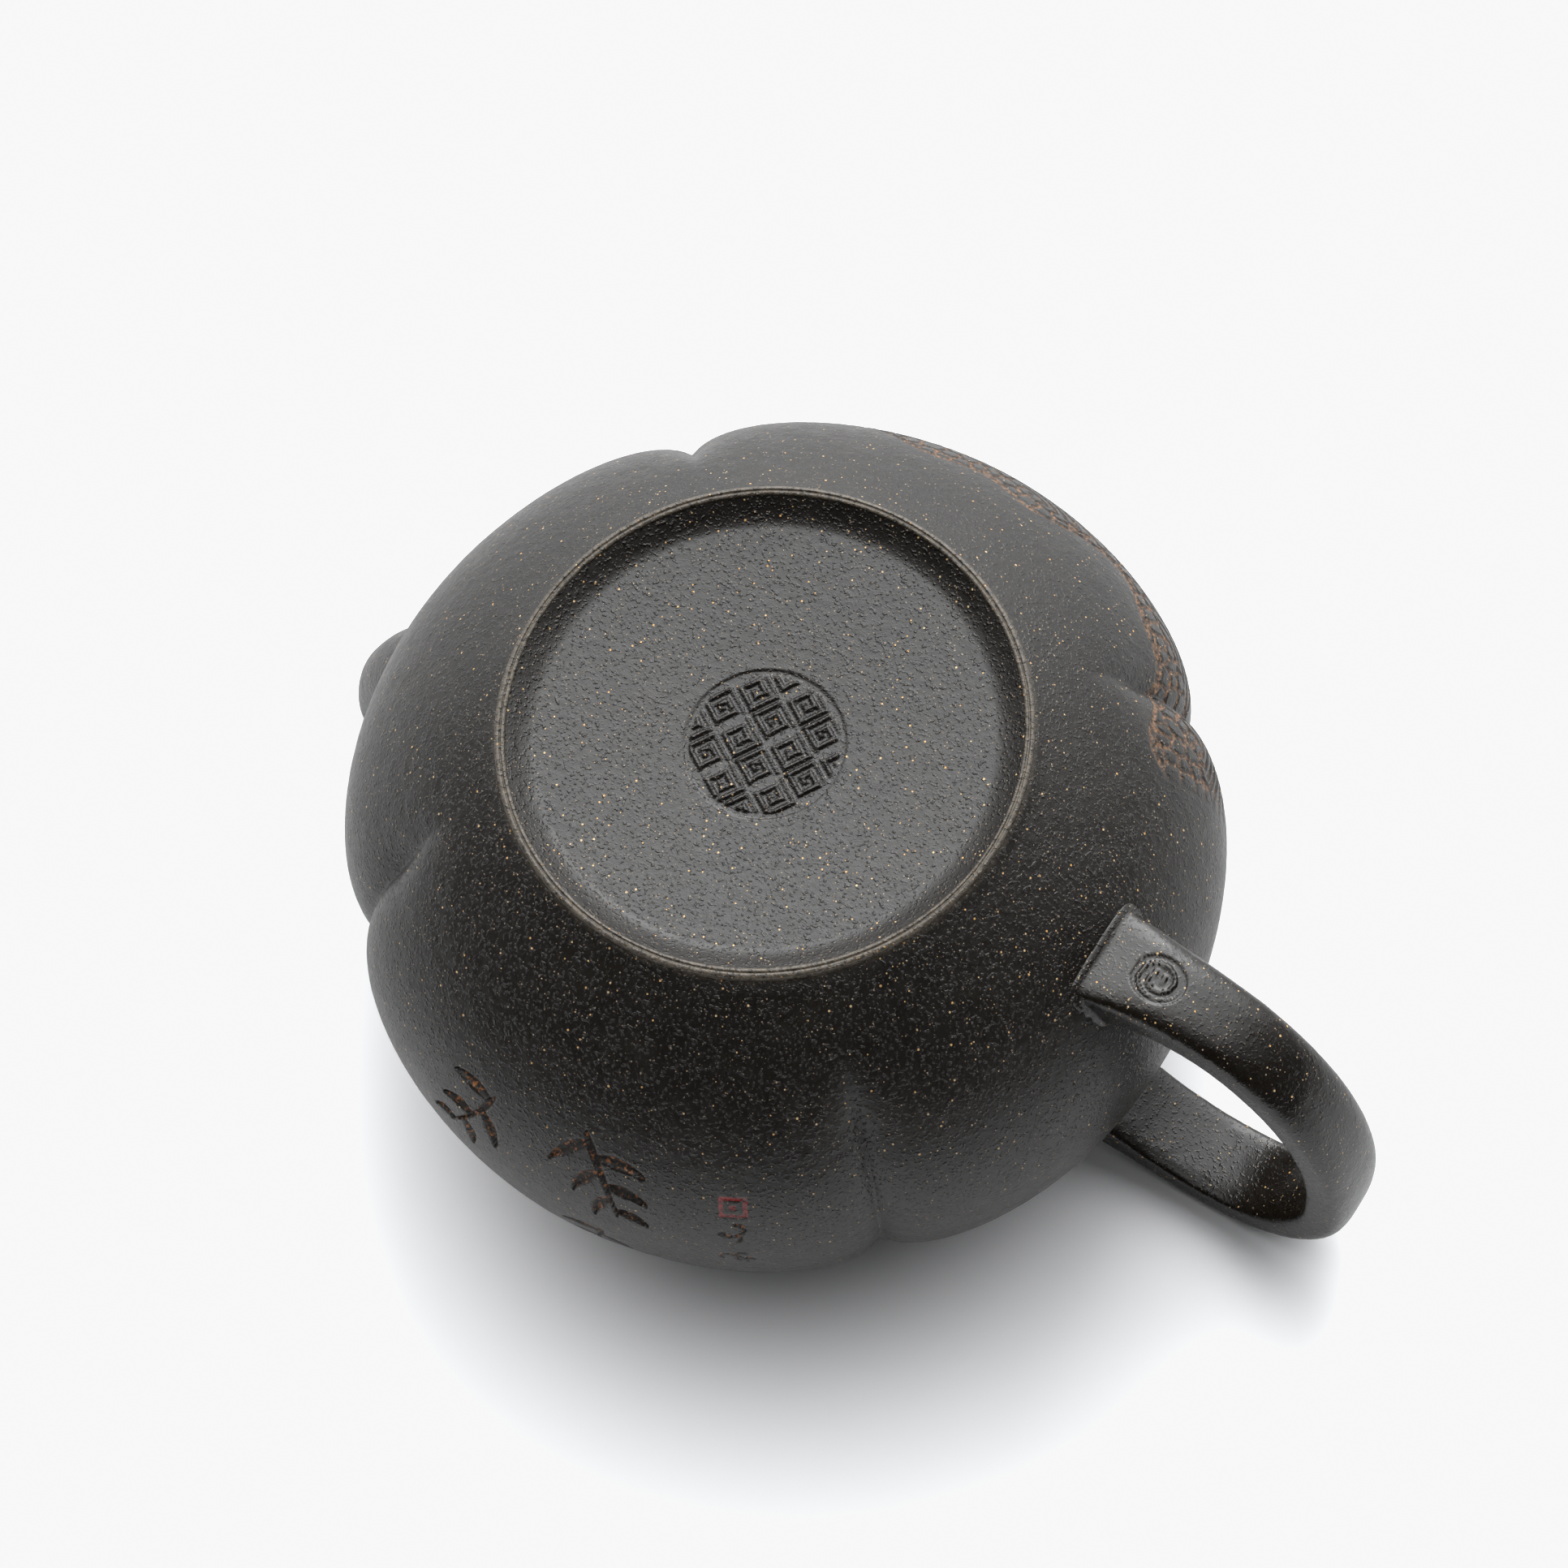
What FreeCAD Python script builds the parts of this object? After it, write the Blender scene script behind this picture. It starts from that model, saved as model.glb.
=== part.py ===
"""Four-lobed clay teapot, built from the pieces a potter makes and joins with slip.

Units are millimetres. The origin is the centre of the circle that the foot stands on, +Z is up,
the spout points along +X and the handle along -X. Four grooves run up the body between the
lobes, close to 45 degrees from the spout. Most functions build one piece, and the last lines
write them all.
"""
import FreeCAD, Part
import math
import os

from FreeCAD import Vector

# Body: the outside outline from the foot up. An outline is two Bezier curves of (radius, height).
FOOT_R = 30.0                    # outside of the foot's standing bead
FOOT_LIP_Z = 0.9                 # height where the body leaves the bead
BELLY_R = 52.2                   # widest, at the middle of a lobe
BELLY_Z = 30.5
SHOULDER_R = 33.0                # where the shoulder meets the mouth ring
SHOULDER_Z = 58.5
OUTER_LOW = [(FOOT_R, FOOT_LIP_Z), (41.5, 9.0), (BELLY_R, 17.5), (BELLY_R, BELLY_Z)]
OUTER_HIGH = [(BELLY_R, BELLY_Z), (BELLY_R, 43.5), (46.0, 55.6), (SHOULDER_R, SHOULDER_Z)]
OUTER_STEPS = 7                  # sections in each of the two curves
JOIN_Z = 51.0                    # where the wall slab meets the shoulder slab

# Grooves between the lobes.
LOBES = 4
LOBE_TURN = -0.3                 # degrees from the spout's line to the middle of a lobe
GROOVE_DEPTH = 3.2
GROOVE_SPREAD = 5.7              # degrees over which a groove fades into its lobe
GROOVE_START_Z = 4.0             # the grooves fade in between these heights
GROOVE_FULL_Z = 20.0
INNER_GROOVE = 0.6               # the inside follows the grooves this much
HALF_LOBE = 180.0 / LOBES
SECTION_ANGLES = (45.0, 43.0, 40.5, 37.0, 32.0, 25.0, 16.0, 6.0)   # to each side of a lobe's middle

# Base and foot.
BASE_Z = 2.4                     # underside of the recessed base panel
BASE_THICK = 3.0
BASE_R = 27.2
RECESS_R = 26.0                  # edge of the flat panel
HOLLOW_MIDDLE = (27.9, 1.75)     # middle of the hollow slope between the panel and the bead
BEAD_WIDTH = 1.1
BEAD_FLAT = 0.5
BEAD_ROUND = 0.3
BEAD_BOW = 0.3                   # how far a rounded corner's middle lies in, as a share of its radius
STAMP_R = 9.25
STAMP_DEPTH = 0.4
STAMP_PLACE = (-0.4, -0.8)

# Mouth and lid. A row of the knob's shape is (share of the height, radius, share of the groove).
MOUTH_R = 27.0
MOUTH_GROOVE = 1.3
RIM_Z = 60.0
RIM_R = 32.0
RIM_GROOVE = 1.9
RING_BULGE = (0.25, 0.6)         # the mouth ring's edge: how far in, and the share of its height
LID_GAP = 0.15                   # between the rim and the lid that rests on it
FLANGE_CLEARANCE = 0.45
FLANGE_THICK = 2.2
FLANGE_DEPTH = 5.0
LID_R = 32.6
LID_EDGE = 1.7
LID_TOP_Z = 68.2
LID_THICK = 2.6
LID_UNDERCUT = 0.5               # the lid's edge turns in this much at its foot
LID_WIDEST = 0.55                # share of the edge's height where it is widest
LID_CROWN_R = 6.0
LID_EDGE_Z = RIM_Z + LID_GAP + LID_EDGE
LID_DOME = [(LID_R, LID_EDGE_Z), (28.6, 66.0), (17.0, LID_TOP_Z), (LID_CROWN_R, LID_TOP_Z)]
LID_STEPS = 6
HOLLOW_R = 23.4                  # the hollow under the lid, at its mouth
HOLLOW_BEND = [(10.0, LID_TOP_Z - LID_THICK), (23.0, RIM_Z + LID_GAP + 1.2)]
KNOB_HEIGHT = 9.4
KNOB_GROOVE = 0.8
KNOB_SHAPE = [(0.0, 4.2, 0.0), (0.16, 4.0, 0.0), (0.34, 5.4, 0.35), (0.52, 7.1, 0.8),
              (0.68, 7.6, 1.0), (0.82, 6.9, 0.9), (0.93, 5.1, 0.5), (1.0, 2.6, 0.0)]
STEAM_HOLE_R = 1.1

# Inside of the body, from the base slab up to the mouth.
WALL = 3.0
INNER_R = BELLY_R - WALL
CAVITY_FLOOR = (26.3, BASE_Z + BASE_THICK)   # the wall laps over the edge of the base slab
INNER_LOW = [CAVITY_FLOOR, (38.0, 10.5), (INNER_R, 19.0), (INNER_R, BELLY_Z)]
INNER_HIGH = [(INNER_R, BELLY_Z), (INNER_R, 42.0), (42.0, 54.2), (MOUTH_R, 55.8)]
INNER_STEPS = 6

# Spout: centres and outside radii from inside the wall to the lip, then the channel.
SPOUT_PATH = [(43.4, 40.0, 9.4), (49.6, 43.0, 8.4), (54.6, 47.0, 7.2), (58.4, 52.0, 6.3),
              (60.2, 56.4, 6.0), (60.8, 60.8, 5.8)]
SPOUT_WALL = 2.3
SPOUT_TOP_Z = 59.6
WALL_HOLE_R = 6.6
WALL_HOLE_BACK = 12.0            # the cut for the hole starts this far inside the spout's root
WALL_HOLE_LENGTH = 30.0
STRAINER_SET = 3.2               # how far along the spout the strainer's centre lies
STRAINER_R = 9.4
STRAINER_THICK = 1.3
STRAINER_HOLE_R = 1.0
STRAINER_RINGS = [(0.0, 1), (26.0, 6), (50.0, 11)]   # degrees off the axis, holes in the ring

# Handle: outer face from the lower root to the upper root, with width and thickness.
HANDLE_PATH = [(-38.1, 12.8, 12.6, 7.2), (-44.0, 11.4, 12.0, 6.4), (-49.9, 10.7, 10.6, 5.4),
               (-55.8, 11.2, 9.8, 4.9), (-62.1, 13.3, 9.6, 4.6), (-68.2, 17.7, 9.6, 4.6),
               (-73.3, 24.0, 9.6, 4.8), (-76.9, 32.0, 9.7, 5.2), (-78.5, 40.9, 9.8, 5.5),
               (-77.7, 49.5, 10.0, 5.3), (-73.4, 56.6, 10.2, 4.8), (-67.2, 60.5, 10.4, 4.6),
               (-59.7, 61.5, 10.5, 4.6), (-52.3, 60.7, 10.7, 5.0), (-45.0, 58.6, 11.2, 5.8),
               (-37.6, 55.6, 12.0, 6.6)]
LOOP_MIDDLE = (-58.0, 37.0)
HANDLE_SQUARENESS = 3.4          # power of the section's rounded rectangle
HANDLE_POINTS = 20               # points round a section

# Cutting.
CUTTER_HALF = 120.0              # half the side of a block that covers the whole pot
CUT_PAST = 1.0                   # how far a drill runs on past the clay
SEARCH_STEPS = 40


def bezier(points, t):
    """Point of a four-point Bezier outline at t from 0 to 1."""
    s = 1.0 - t
    weights = (s * s * s, 3 * s * s * t, 3 * s * t * t, t * t * t)
    return tuple(sum(w * p[i] for w, p in zip(weights, points)) for i in (0, 1))


def outline(curves, steps):
    """Points along a chain of Bezier outlines, without repeating the joints."""
    points = [curves[0][0]]
    for curve in curves:
        points.extend(bezier(curve, (i + 1.0) / steps) for i in range(steps))
    return points


def fade(z):
    """0 below the start of the grooves and 1 where they are full, with a smooth rise."""
    t = min(max((z - GROOVE_START_Z) / (GROOVE_FULL_Z - GROOVE_START_Z), 0.0), 1.0)
    return t * t * (3.0 - 2.0 * t)


def lobed_wire(radius, groove, z):
    """Closed wire at height z: one smooth arc per lobe, meeting at a crease in each groove."""
    angles = [-a for a in SECTION_ANGLES] + list(reversed(SECTION_ANGLES))
    edges = []
    for lobe in range(LOBES):
        points = []
        for angle in angles:
            r = radius - groove * math.exp(-(HALF_LOBE - abs(angle)) / GROOVE_SPREAD)
            turn = math.radians(LOBE_TURN + lobe * 2 * HALF_LOBE + angle)
            points.append(Vector(r * math.cos(turn), r * math.sin(turn), z))
        curve = Part.BSplineCurve()
        curve.interpolate(points)
        edges.append(curve.toShape())
    return Part.Wire(edges)


def lobed_solid(rows):
    """Solid through lobed sections; each row is (radius, groove depth, height)."""
    return Part.makeLoft([lobed_wire(r, g, z) for r, g, z in rows], True, False)


def straight_lobed(radius, groove, z0, z1):
    """Lobed prism between two heights."""
    face = Part.Face(lobed_wire(radius, groove, z0))
    return face.extrude(Vector(0, 0, z1 - z0))


def slab(z0, z1):
    """A block that covers the whole pot between two heights."""
    corner = Vector(-CUTTER_HALF, -CUTTER_HALF, z0)
    return Part.makeBox(2 * CUTTER_HALF, 2 * CUTTER_HALF, z1 - z0, corner)


def groove_depth(radius, z):
    """Groove depth on the outside of the body, in proportion to the radius above the belly."""
    scale = radius / BELLY_R if z > BELLY_Z else 1.0
    return GROOVE_DEPTH * fade(z) * scale


def body_outside():
    """The pot's outer form, solid through."""
    points = outline([OUTER_LOW, OUTER_HIGH], OUTER_STEPS)
    return lobed_solid([(r, groove_depth(r, z), z) for r, z in points])


def body_inside():
    """The space inside the pot, from the base panel to above the mouth."""
    points = outline([INNER_LOW, INNER_HIGH], INNER_STEPS)
    return lobed_solid([(r, groove_depth(r, z) * INNER_GROOVE, z) for r, z in points])


def revolve(edges):
    """Turn a closed chain of edges in the XZ plane once round Z."""
    face = Part.Face(Part.Wire(edges))
    return face.revolve(Vector(0, 0, 0), Vector(0, 0, 1), 360)


def line(a, b):
    """Straight edge between two (radius, height) points in the XZ plane."""
    return Part.LineSegment(Vector(a[0], 0, a[1]), Vector(b[0], 0, b[1])).toShape()


def arc(a, middle, b):
    """Circular edge through three (radius, height) points in the XZ plane."""
    return Part.Arc(*[Vector(p[0], 0, p[1]) for p in (a, middle, b)]).toShape()


def bezier_edge(points):
    """Bezier edge in the XZ plane."""
    curve = Part.BezierCurve()
    curve.setPoles([Vector(p[0], 0, p[1]) for p in points])
    return curve.toShape()


def outline_until(points, z):
    """The first part of a Bezier outline, cut where it reaches height z."""
    low, high = 0.0, 1.0
    for _ in range(SEARCH_STEPS):
        middle = 0.5 * (low + high)
        if bezier(points, middle)[1] < z:
            low = middle
        else:
            high = middle
    curve = Part.BezierCurve()
    curve.setPoles([Vector(p[0], 0, p[1]) for p in points])
    curve.segment(0.0, low)
    return curve


def foot_ring():
    """Ring with the narrow standing bead, a hollow slope inside it and the body's first rise."""
    wall_start = outline_until(OUTER_LOW, BASE_Z)
    top = wall_start.EndPoint
    inner = FOOT_R - BEAD_WIDTH
    flat_out = FOOT_R - BEAD_ROUND
    flat_in = flat_out - BEAD_FLAT
    bow = BEAD_BOW * BEAD_ROUND
    edges = [
        wall_start.toShape(),
        line((top.x, top.z), (RECESS_R, BASE_Z)),
        arc((RECESS_R, BASE_Z), HOLLOW_MIDDLE, (inner, BEAD_ROUND)),
        arc((inner, BEAD_ROUND), (inner + bow, bow), (flat_in, 0.0)),
        line((flat_in, 0.0), (flat_out, 0.0)),
        arc((flat_out, 0.0), (FOOT_R - bow, bow), (FOOT_R, BEAD_ROUND)),
        line((FOOT_R, BEAD_ROUND), (FOOT_R, FOOT_LIP_Z)),
    ]
    return revolve(edges)


def base_disc():
    """Round base slab with the shallow round stamp on its underside."""
    disc = Part.makeCylinder(BASE_R, BASE_THICK, Vector(0, 0, BASE_Z))
    place = Vector(STAMP_PLACE[0], STAMP_PLACE[1], BASE_Z)
    stamp = Part.makeCylinder(STAMP_R, STAMP_DEPTH, place)
    return disc.cut(stamp)


def spout_axis():
    """Start and direction of the spout's root."""
    first, second = SPOUT_PATH[0], SPOUT_PATH[1]
    start = Vector(first[0], 0, first[1])
    direction = Vector(second[0] - first[0], 0, second[1] - first[1])
    return start, direction.normalize()


def body_wall(outside, inside):
    """Beaten wall slab from the foot to the shoulder, with the hole behind the spout."""
    wall = outside.common(slab(BASE_Z, JOIN_Z)).cut(inside)
    wall = wall.cut(Part.makeCylinder(BASE_R, BASE_THICK, Vector(0, 0, BASE_Z)))
    start, direction = spout_axis()
    inner_end = start - direction * WALL_HOLE_BACK
    return wall.cut(Part.makeCylinder(WALL_HOLE_R, WALL_HOLE_LENGTH, inner_end, direction))


def shoulder_disc(outside, inside):
    """Shoulder slab from the join with the wall in to the mouth."""
    mouth = straight_lobed(MOUTH_R, MOUTH_GROOVE, JOIN_Z, RIM_Z)
    return outside.common(slab(JOIN_Z, SHOULDER_Z)).cut(inside).cut(mouth)


def mouth_ring():
    """Low lobed ring round the mouth that the lid rests on."""
    height = RIM_Z - SHOULDER_Z
    foot_groove = groove_depth(SHOULDER_R, SHOULDER_Z)
    rows = [(SHOULDER_R, foot_groove, SHOULDER_Z),
            (SHOULDER_R - RING_BULGE[0], foot_groove, SHOULDER_Z + RING_BULGE[1] * height),
            (RIM_R, RIM_GROOVE, RIM_Z)]
    return lobed_solid(rows).cut(straight_lobed(MOUTH_R, MOUTH_GROOVE, SHOULDER_Z, RIM_Z))


def path_frames(points):
    """Unit tangents of a chain of (x, z) points, from the neighbours on each side."""
    tangents = []
    for i in range(len(points)):
        a = points[max(i - 1, 0)]
        b = points[min(i + 1, len(points) - 1)]
        tangents.append(Vector(b[0] - a[0], 0, b[1] - a[1]).normalize())
    return tangents


def spout_form(inset):
    """Round tapering form along the spout, smaller than its outside by inset."""
    wires = []
    for point, tangent in zip(SPOUT_PATH, path_frames(SPOUT_PATH)):
        circle = Part.Circle(Vector(point[0], 0, point[1]), tangent, point[2] - inset)
        wires.append(Part.Wire([circle.toShape()]))
    return Part.makeLoft(wires, True, False)


def spout(outside):
    """Short spout, luted on over the hole in the wall and cut level at the lip."""
    form = spout_form(0.0).cut(spout_form(SPOUT_WALL))
    return form.common(slab(0.0, SPOUT_TOP_Z)).cut(outside)


def strainer(inside):
    """Perforated clay dome luted inside the wall, over the hole behind the spout."""
    start, direction = spout_axis()
    centre = start + direction * STRAINER_SET
    hollow = Part.makeSphere(STRAINER_R - STRAINER_THICK, centre)
    dome = Part.makeSphere(STRAINER_R, centre).cut(hollow)
    across = Vector(0, 1, 0)
    upward = direction.cross(across)
    for tilt, count in STRAINER_RINGS:
        for i in range(count):
            turn = 2 * math.pi * i / count
            side = across * math.cos(turn) + upward * math.sin(turn)
            way = direction * -math.cos(math.radians(tilt)) + side * math.sin(math.radians(tilt))
            hole = Part.makeCylinder(STRAINER_HOLE_R, STRAINER_R + CUT_PAST, centre, way)
            dome = dome.cut(hole)
    return dome.common(inside)


def rounded_section(centre, out, width, thick):
    """Closed rounded-rectangle wire: width along Y, thick along out."""
    points = []
    power = 2.0 / HANDLE_SQUARENESS
    for i in range(HANDLE_POINTS):
        turn = 2 * math.pi * i / HANDLE_POINTS
        c = math.copysign(abs(math.cos(turn)) ** power, math.cos(turn))
        s = math.copysign(abs(math.sin(turn)) ** power, math.sin(turn))
        points.append(centre + Vector(0, 1, 0) * (0.5 * width * c) + out * (0.5 * thick * s))
    curve = Part.BSplineCurve()
    curve.interpolate(points, PeriodicFlag=True)
    return Part.Wire([curve.toShape()])


def handle(outside):
    """Ear-shaped band, broad at its roots, luted to the lower wall and to the shoulder."""
    wires = []
    for point, tangent in zip(HANDLE_PATH, path_frames(HANDLE_PATH)):
        out = Vector(tangent.z, 0, -tangent.x)
        if out.dot(Vector(point[0] - LOOP_MIDDLE[0], 0, point[1] - LOOP_MIDDLE[1])) < 0:
            out = out * -1.0
        centre = Vector(point[0], 0, point[1]) - out * (0.5 * point[3])
        wires.append(rounded_section(centre, out, point[2], point[3]))
    return Part.makeLoft(wires, True, False).cut(outside)


def steam_hole(z0, z1):
    """The hole that lets air in as the pot pours."""
    return Part.makeCylinder(STEAM_HOLE_R, z1 - z0, Vector(0, 0, z0))


def lid_cap():
    """Low lobed dome that covers the mouth and carries on the body's grooves."""
    z0 = RIM_Z + LID_GAP
    rows = [(LID_R - LID_UNDERCUT, RIM_GROOVE, z0),
            (LID_R, RIM_GROOVE, z0 + LID_WIDEST * LID_EDGE)]
    for r, z in outline([LID_DOME], LID_STEPS)[:-1]:
        rows.append((r, RIM_GROOVE * (r / LID_R) ** 2, z))
    cap = lobed_solid(rows + [(LID_CROWN_R, 0.0, LID_TOP_Z)])
    ceiling = (0.0, LID_TOP_Z - LID_THICK)
    edges = [bezier_edge([ceiling] + HOLLOW_BEND + [(HOLLOW_R, z0)]),
             line((HOLLOW_R, z0), (0.0, z0)),
             line((0.0, z0), ceiling)]
    return cap.cut(revolve(edges)).cut(steam_hole(z0, LID_TOP_Z + CUT_PAST))


def lid_flange():
    """Lobed ring under the lid that drops into the mouth and stops the lid turning."""
    z1 = RIM_Z + LID_GAP
    radius = MOUTH_R - FLANGE_CLEARANCE
    outer = straight_lobed(radius, MOUTH_GROOVE, z1 - FLANGE_DEPTH, z1)
    inner = straight_lobed(radius - FLANGE_THICK, MOUTH_GROOVE, z1 - FLANGE_DEPTH, z1)
    return outer.cut(inner)


def knob():
    """Lobed bud with the steam hole down its middle."""
    z0 = LID_TOP_Z
    z1 = z0 + KNOB_HEIGHT
    rows = [(r, KNOB_GROOVE * cut, z0 + KNOB_HEIGHT * share) for share, r, cut in KNOB_SHAPE]
    return lobed_solid(rows).cut(steam_hole(z0 - CUT_PAST, z1 + CUT_PAST))


def build():
    """All pieces by node name."""
    outside = body_outside()
    inside = body_inside()
    return {
        "foot_ring": foot_ring(),
        "base_disc": base_disc(),
        "body_wall": body_wall(outside, inside),
        "shoulder_disc": shoulder_disc(outside, inside),
        "mouth_ring": mouth_ring(),
        "spout": spout(outside),
        "spout_strainer": strainer(inside),
        "handle": handle(outside),
        "lid_cap": lid_cap(),
        "lid_flange": lid_flange(),
        "knob": knob(),
    }


os.makedirs("parts", exist_ok=True)
for node, shape in build().items():
    box = shape.BoundBox
    print(node, shape.isValid(), len(shape.Solids), round(shape.Volume, 1),
          [round(v, 2) for v in (box.XMin, box.XMax, box.YMin, box.YMax, box.ZMin, box.ZMax)])
    shape.exportStep("parts/" + node + ".step")
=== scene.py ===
"""Looks of a four-lobed clay teapot: its body, foot, handle, spout and lid, and the finish of the clay.

Shapes are worked out in millimetres and put into the meshes in metres. The pot stands on its foot,
+Z is up, the spout points along +X and the handle along -X.
"""

import logging
import math
from dataclasses import dataclass, field
from enum import Enum

import bpy
import numpy as np
from mathutils import Matrix, Vector


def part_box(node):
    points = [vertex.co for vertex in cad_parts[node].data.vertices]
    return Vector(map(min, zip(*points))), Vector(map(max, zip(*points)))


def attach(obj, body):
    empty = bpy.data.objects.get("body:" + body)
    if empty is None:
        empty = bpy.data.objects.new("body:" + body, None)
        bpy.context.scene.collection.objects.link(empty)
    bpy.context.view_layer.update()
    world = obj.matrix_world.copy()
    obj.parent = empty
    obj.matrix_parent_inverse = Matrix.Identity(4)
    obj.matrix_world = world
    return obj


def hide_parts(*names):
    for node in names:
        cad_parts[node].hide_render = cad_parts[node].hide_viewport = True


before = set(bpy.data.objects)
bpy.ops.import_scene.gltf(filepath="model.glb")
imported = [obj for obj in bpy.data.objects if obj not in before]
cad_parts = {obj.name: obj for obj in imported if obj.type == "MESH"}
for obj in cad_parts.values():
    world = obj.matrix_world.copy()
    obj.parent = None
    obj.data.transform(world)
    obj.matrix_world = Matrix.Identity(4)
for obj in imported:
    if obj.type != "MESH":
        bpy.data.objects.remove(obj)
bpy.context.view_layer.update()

MM = 0.001
Array = np.ndarray
TINY = 1e-9
LOBE_ANGLE = 90.0
HALF_LOBE = 45.0
STAMPED = 0.02
WHITE = 0.935
log = logging.getLogger("teapot")


class Carrier(Enum):
    """The body that a piece moves with."""

    POT = "pot"
    LID = "lid"


class Slot(Enum):
    """Names of the finishes in the record; a piece is handed one but does not use it."""

    BASE = "base_clay"
    BODY = "body_clay"
    SPOUT = "spout_clay"
    HANDLE = "handle_clay"
    LID = "lid_clay"
    KNOB = "knob_clay"


# ---------------------------------------------------------------- numbers and curves


def smooth(low: float, high: float, x: Array) -> Array:
    """0 below low and 1 above high, with a smooth rise between them."""
    t = np.clip((x - low) / (high - low), 0.0, 1.0)
    return t * t * (3.0 - 2.0 * t)


def bezier(points: tuple, t: Array) -> Array:
    """Points of a three- or four-point Bezier curve.

    Args:
        points: The curve's control points.
        t: Places along it, from 0 to 1.

    Returns:
        One row of coordinates for each place: the sum of the control points, each weighted by its
        Bernstein polynomial.
    """
    n = len(points) - 1
    weights = [math.comb(n, k) * (1.0 - t) ** (n - k) * t ** k for k in range(n + 1)]
    return sum(w[:, None] * np.asarray(p, float) for w, p in zip(weights, points))


def lengths_along(line: Array) -> Array:
    """Distance from the first point of a line to each of its points."""
    steps = np.linalg.norm(np.diff(line, axis=0), axis=1)
    return np.concatenate([[0.0], np.cumsum(steps)])


def resample(line: Array, places: Array) -> Array:
    """Rows of a line interpolated at distances along its first two columns."""
    along = lengths_along(line[:, :2])
    columns = [np.interp(places, along, line[:, k]) for k in range(line.shape[1])]
    return np.stack(columns, axis=1)


def evenly(line: Array, count: int) -> Array:
    """The same line as count evenly spaced points."""
    return resample(line, np.linspace(0.0, lengths_along(line[:, :2])[-1], count))


def through(points: Array, count: int) -> Array:
    """Smooth curve through points.

    Args:
        points: Rows to pass through.
        count: Number of rows wanted.

    Returns:
        A chain of cubic Hermite spans, each tangent half the chord between its two neighbours.
    """
    points = np.asarray(points, float)
    slopes = np.gradient(points, axis=0)
    at = np.linspace(0.0, len(points) - 1.0, count)
    i = np.minimum(at.astype(int), len(points) - 2)
    t = (at - i)[:, None]
    a, b = points[i], points[i + 1]
    return ((2 * t ** 3 - 3 * t ** 2 + 1) * a + (t ** 3 - 2 * t ** 2 + t) * slopes[i]
            + (3 * t ** 2 - 2 * t ** 3) * b + (t ** 3 - t ** 2) * slopes[i + 1])


@dataclass(frozen=True)
class Lumps:
    """Smooth random swellings that fill space: values on a cubic lattice, blended between corners."""

    size: float
    seed: int
    cells: int = 64

    def at(self, points: Array) -> Array:
        """Values at points.

        Args:
            points: Coordinates in millimetres, the last axis being x, y and z.

        Returns:
            Values from -1 to 1, each the sum of the eight lattice values round the point, weighted
            by a smooth step along each axis.
        """
        table = np.random.default_rng(self.seed).uniform(-1.0, 1.0, (self.cells,) * 3)
        scaled = points / self.size
        low = np.floor(scaled).astype(int)
        share = scaled - low
        share = share * share * (3.0 - 2.0 * share)
        total = np.zeros(points.shape[:-1])
        for corner in np.ndindex(2, 2, 2):
            index = (low + corner) % self.cells
            weight = np.prod(np.where(np.array(corner) == 1, share, 1.0 - share), axis=-1)
            total += weight * table[index[..., 0], index[..., 1], index[..., 2]]
        return total


@dataclass(frozen=True)
class HandWork:
    """Unevenness that the maker's hands and tools leave in the clay, in millimetres."""

    waves: Lumps = Lumps(17.0, 3)
    waviness: float = 0.10
    dimples: Lumps = Lumps(1.9, 5)
    peel: float = 0.012
    grains: Lumps = Lumps(0.6, 7)
    pebbles: float = 0.014

    def at(self, points: Array) -> Array:
        """Height of the surface over its true form: long waves, then soft dimples, then grains."""
        long = self.waves.at(points) * self.waviness
        soft = self.dimples.at(points) * self.peel
        return long + soft + self.grains.at(points) * self.pebbles


# ---------------------------------------------------------------- meshes


def grid_faces(rows: int, columns: int, first: int = 0, round_rows: bool = False,
               round_columns: bool = False, flip: bool = False) -> Array:
    """Four-sided faces of a grid of vertices.

    Args:
        rows: Number of rows.
        columns: Number of vertices in a row.
        first: Index of the grid's first vertex.
        round_rows: Whether the last row joins the first.
        round_columns: Whether the last column joins the first.
        flip: Whether to turn the faces over.

    Returns:
        Indices, one row a face. A face looks along (next column) x (next row).
    """
    i = np.arange(rows if round_rows else rows - 1)[:, None]
    j = np.arange(columns if round_columns else columns - 1)[None, :]
    down, across = (i + 1) % rows, (j + 1) % columns
    corners = [i * columns + j, i * columns + across, down * columns + across, down * columns + j]
    faces = first + np.stack(np.broadcast_arrays(*corners), axis=-1).reshape(-1, 4)
    return faces[:, ::-1] if flip else faces


def steps(values: Array, axis: int, closed: bool) -> Array:
    """Central differences along an axis, round the end where the axis is closed."""
    if closed:
        return np.roll(values, -1, axis) - np.roll(values, 1, axis)
    return np.gradient(values, axis=axis)


def grid_normals(points: Array, round_rows: bool = False, round_columns: bool = False,
                 flip: bool = False) -> Array:
    """Unit normals of a grid: (difference across columns) x (difference along rows)."""
    across = steps(points, 1, round_columns)
    along = steps(points, 0, round_rows)
    normals = np.cross(across, along)
    normals /= np.linalg.norm(normals, axis=-1, keepdims=True) + TINY
    return -normals if flip else normals


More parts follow.
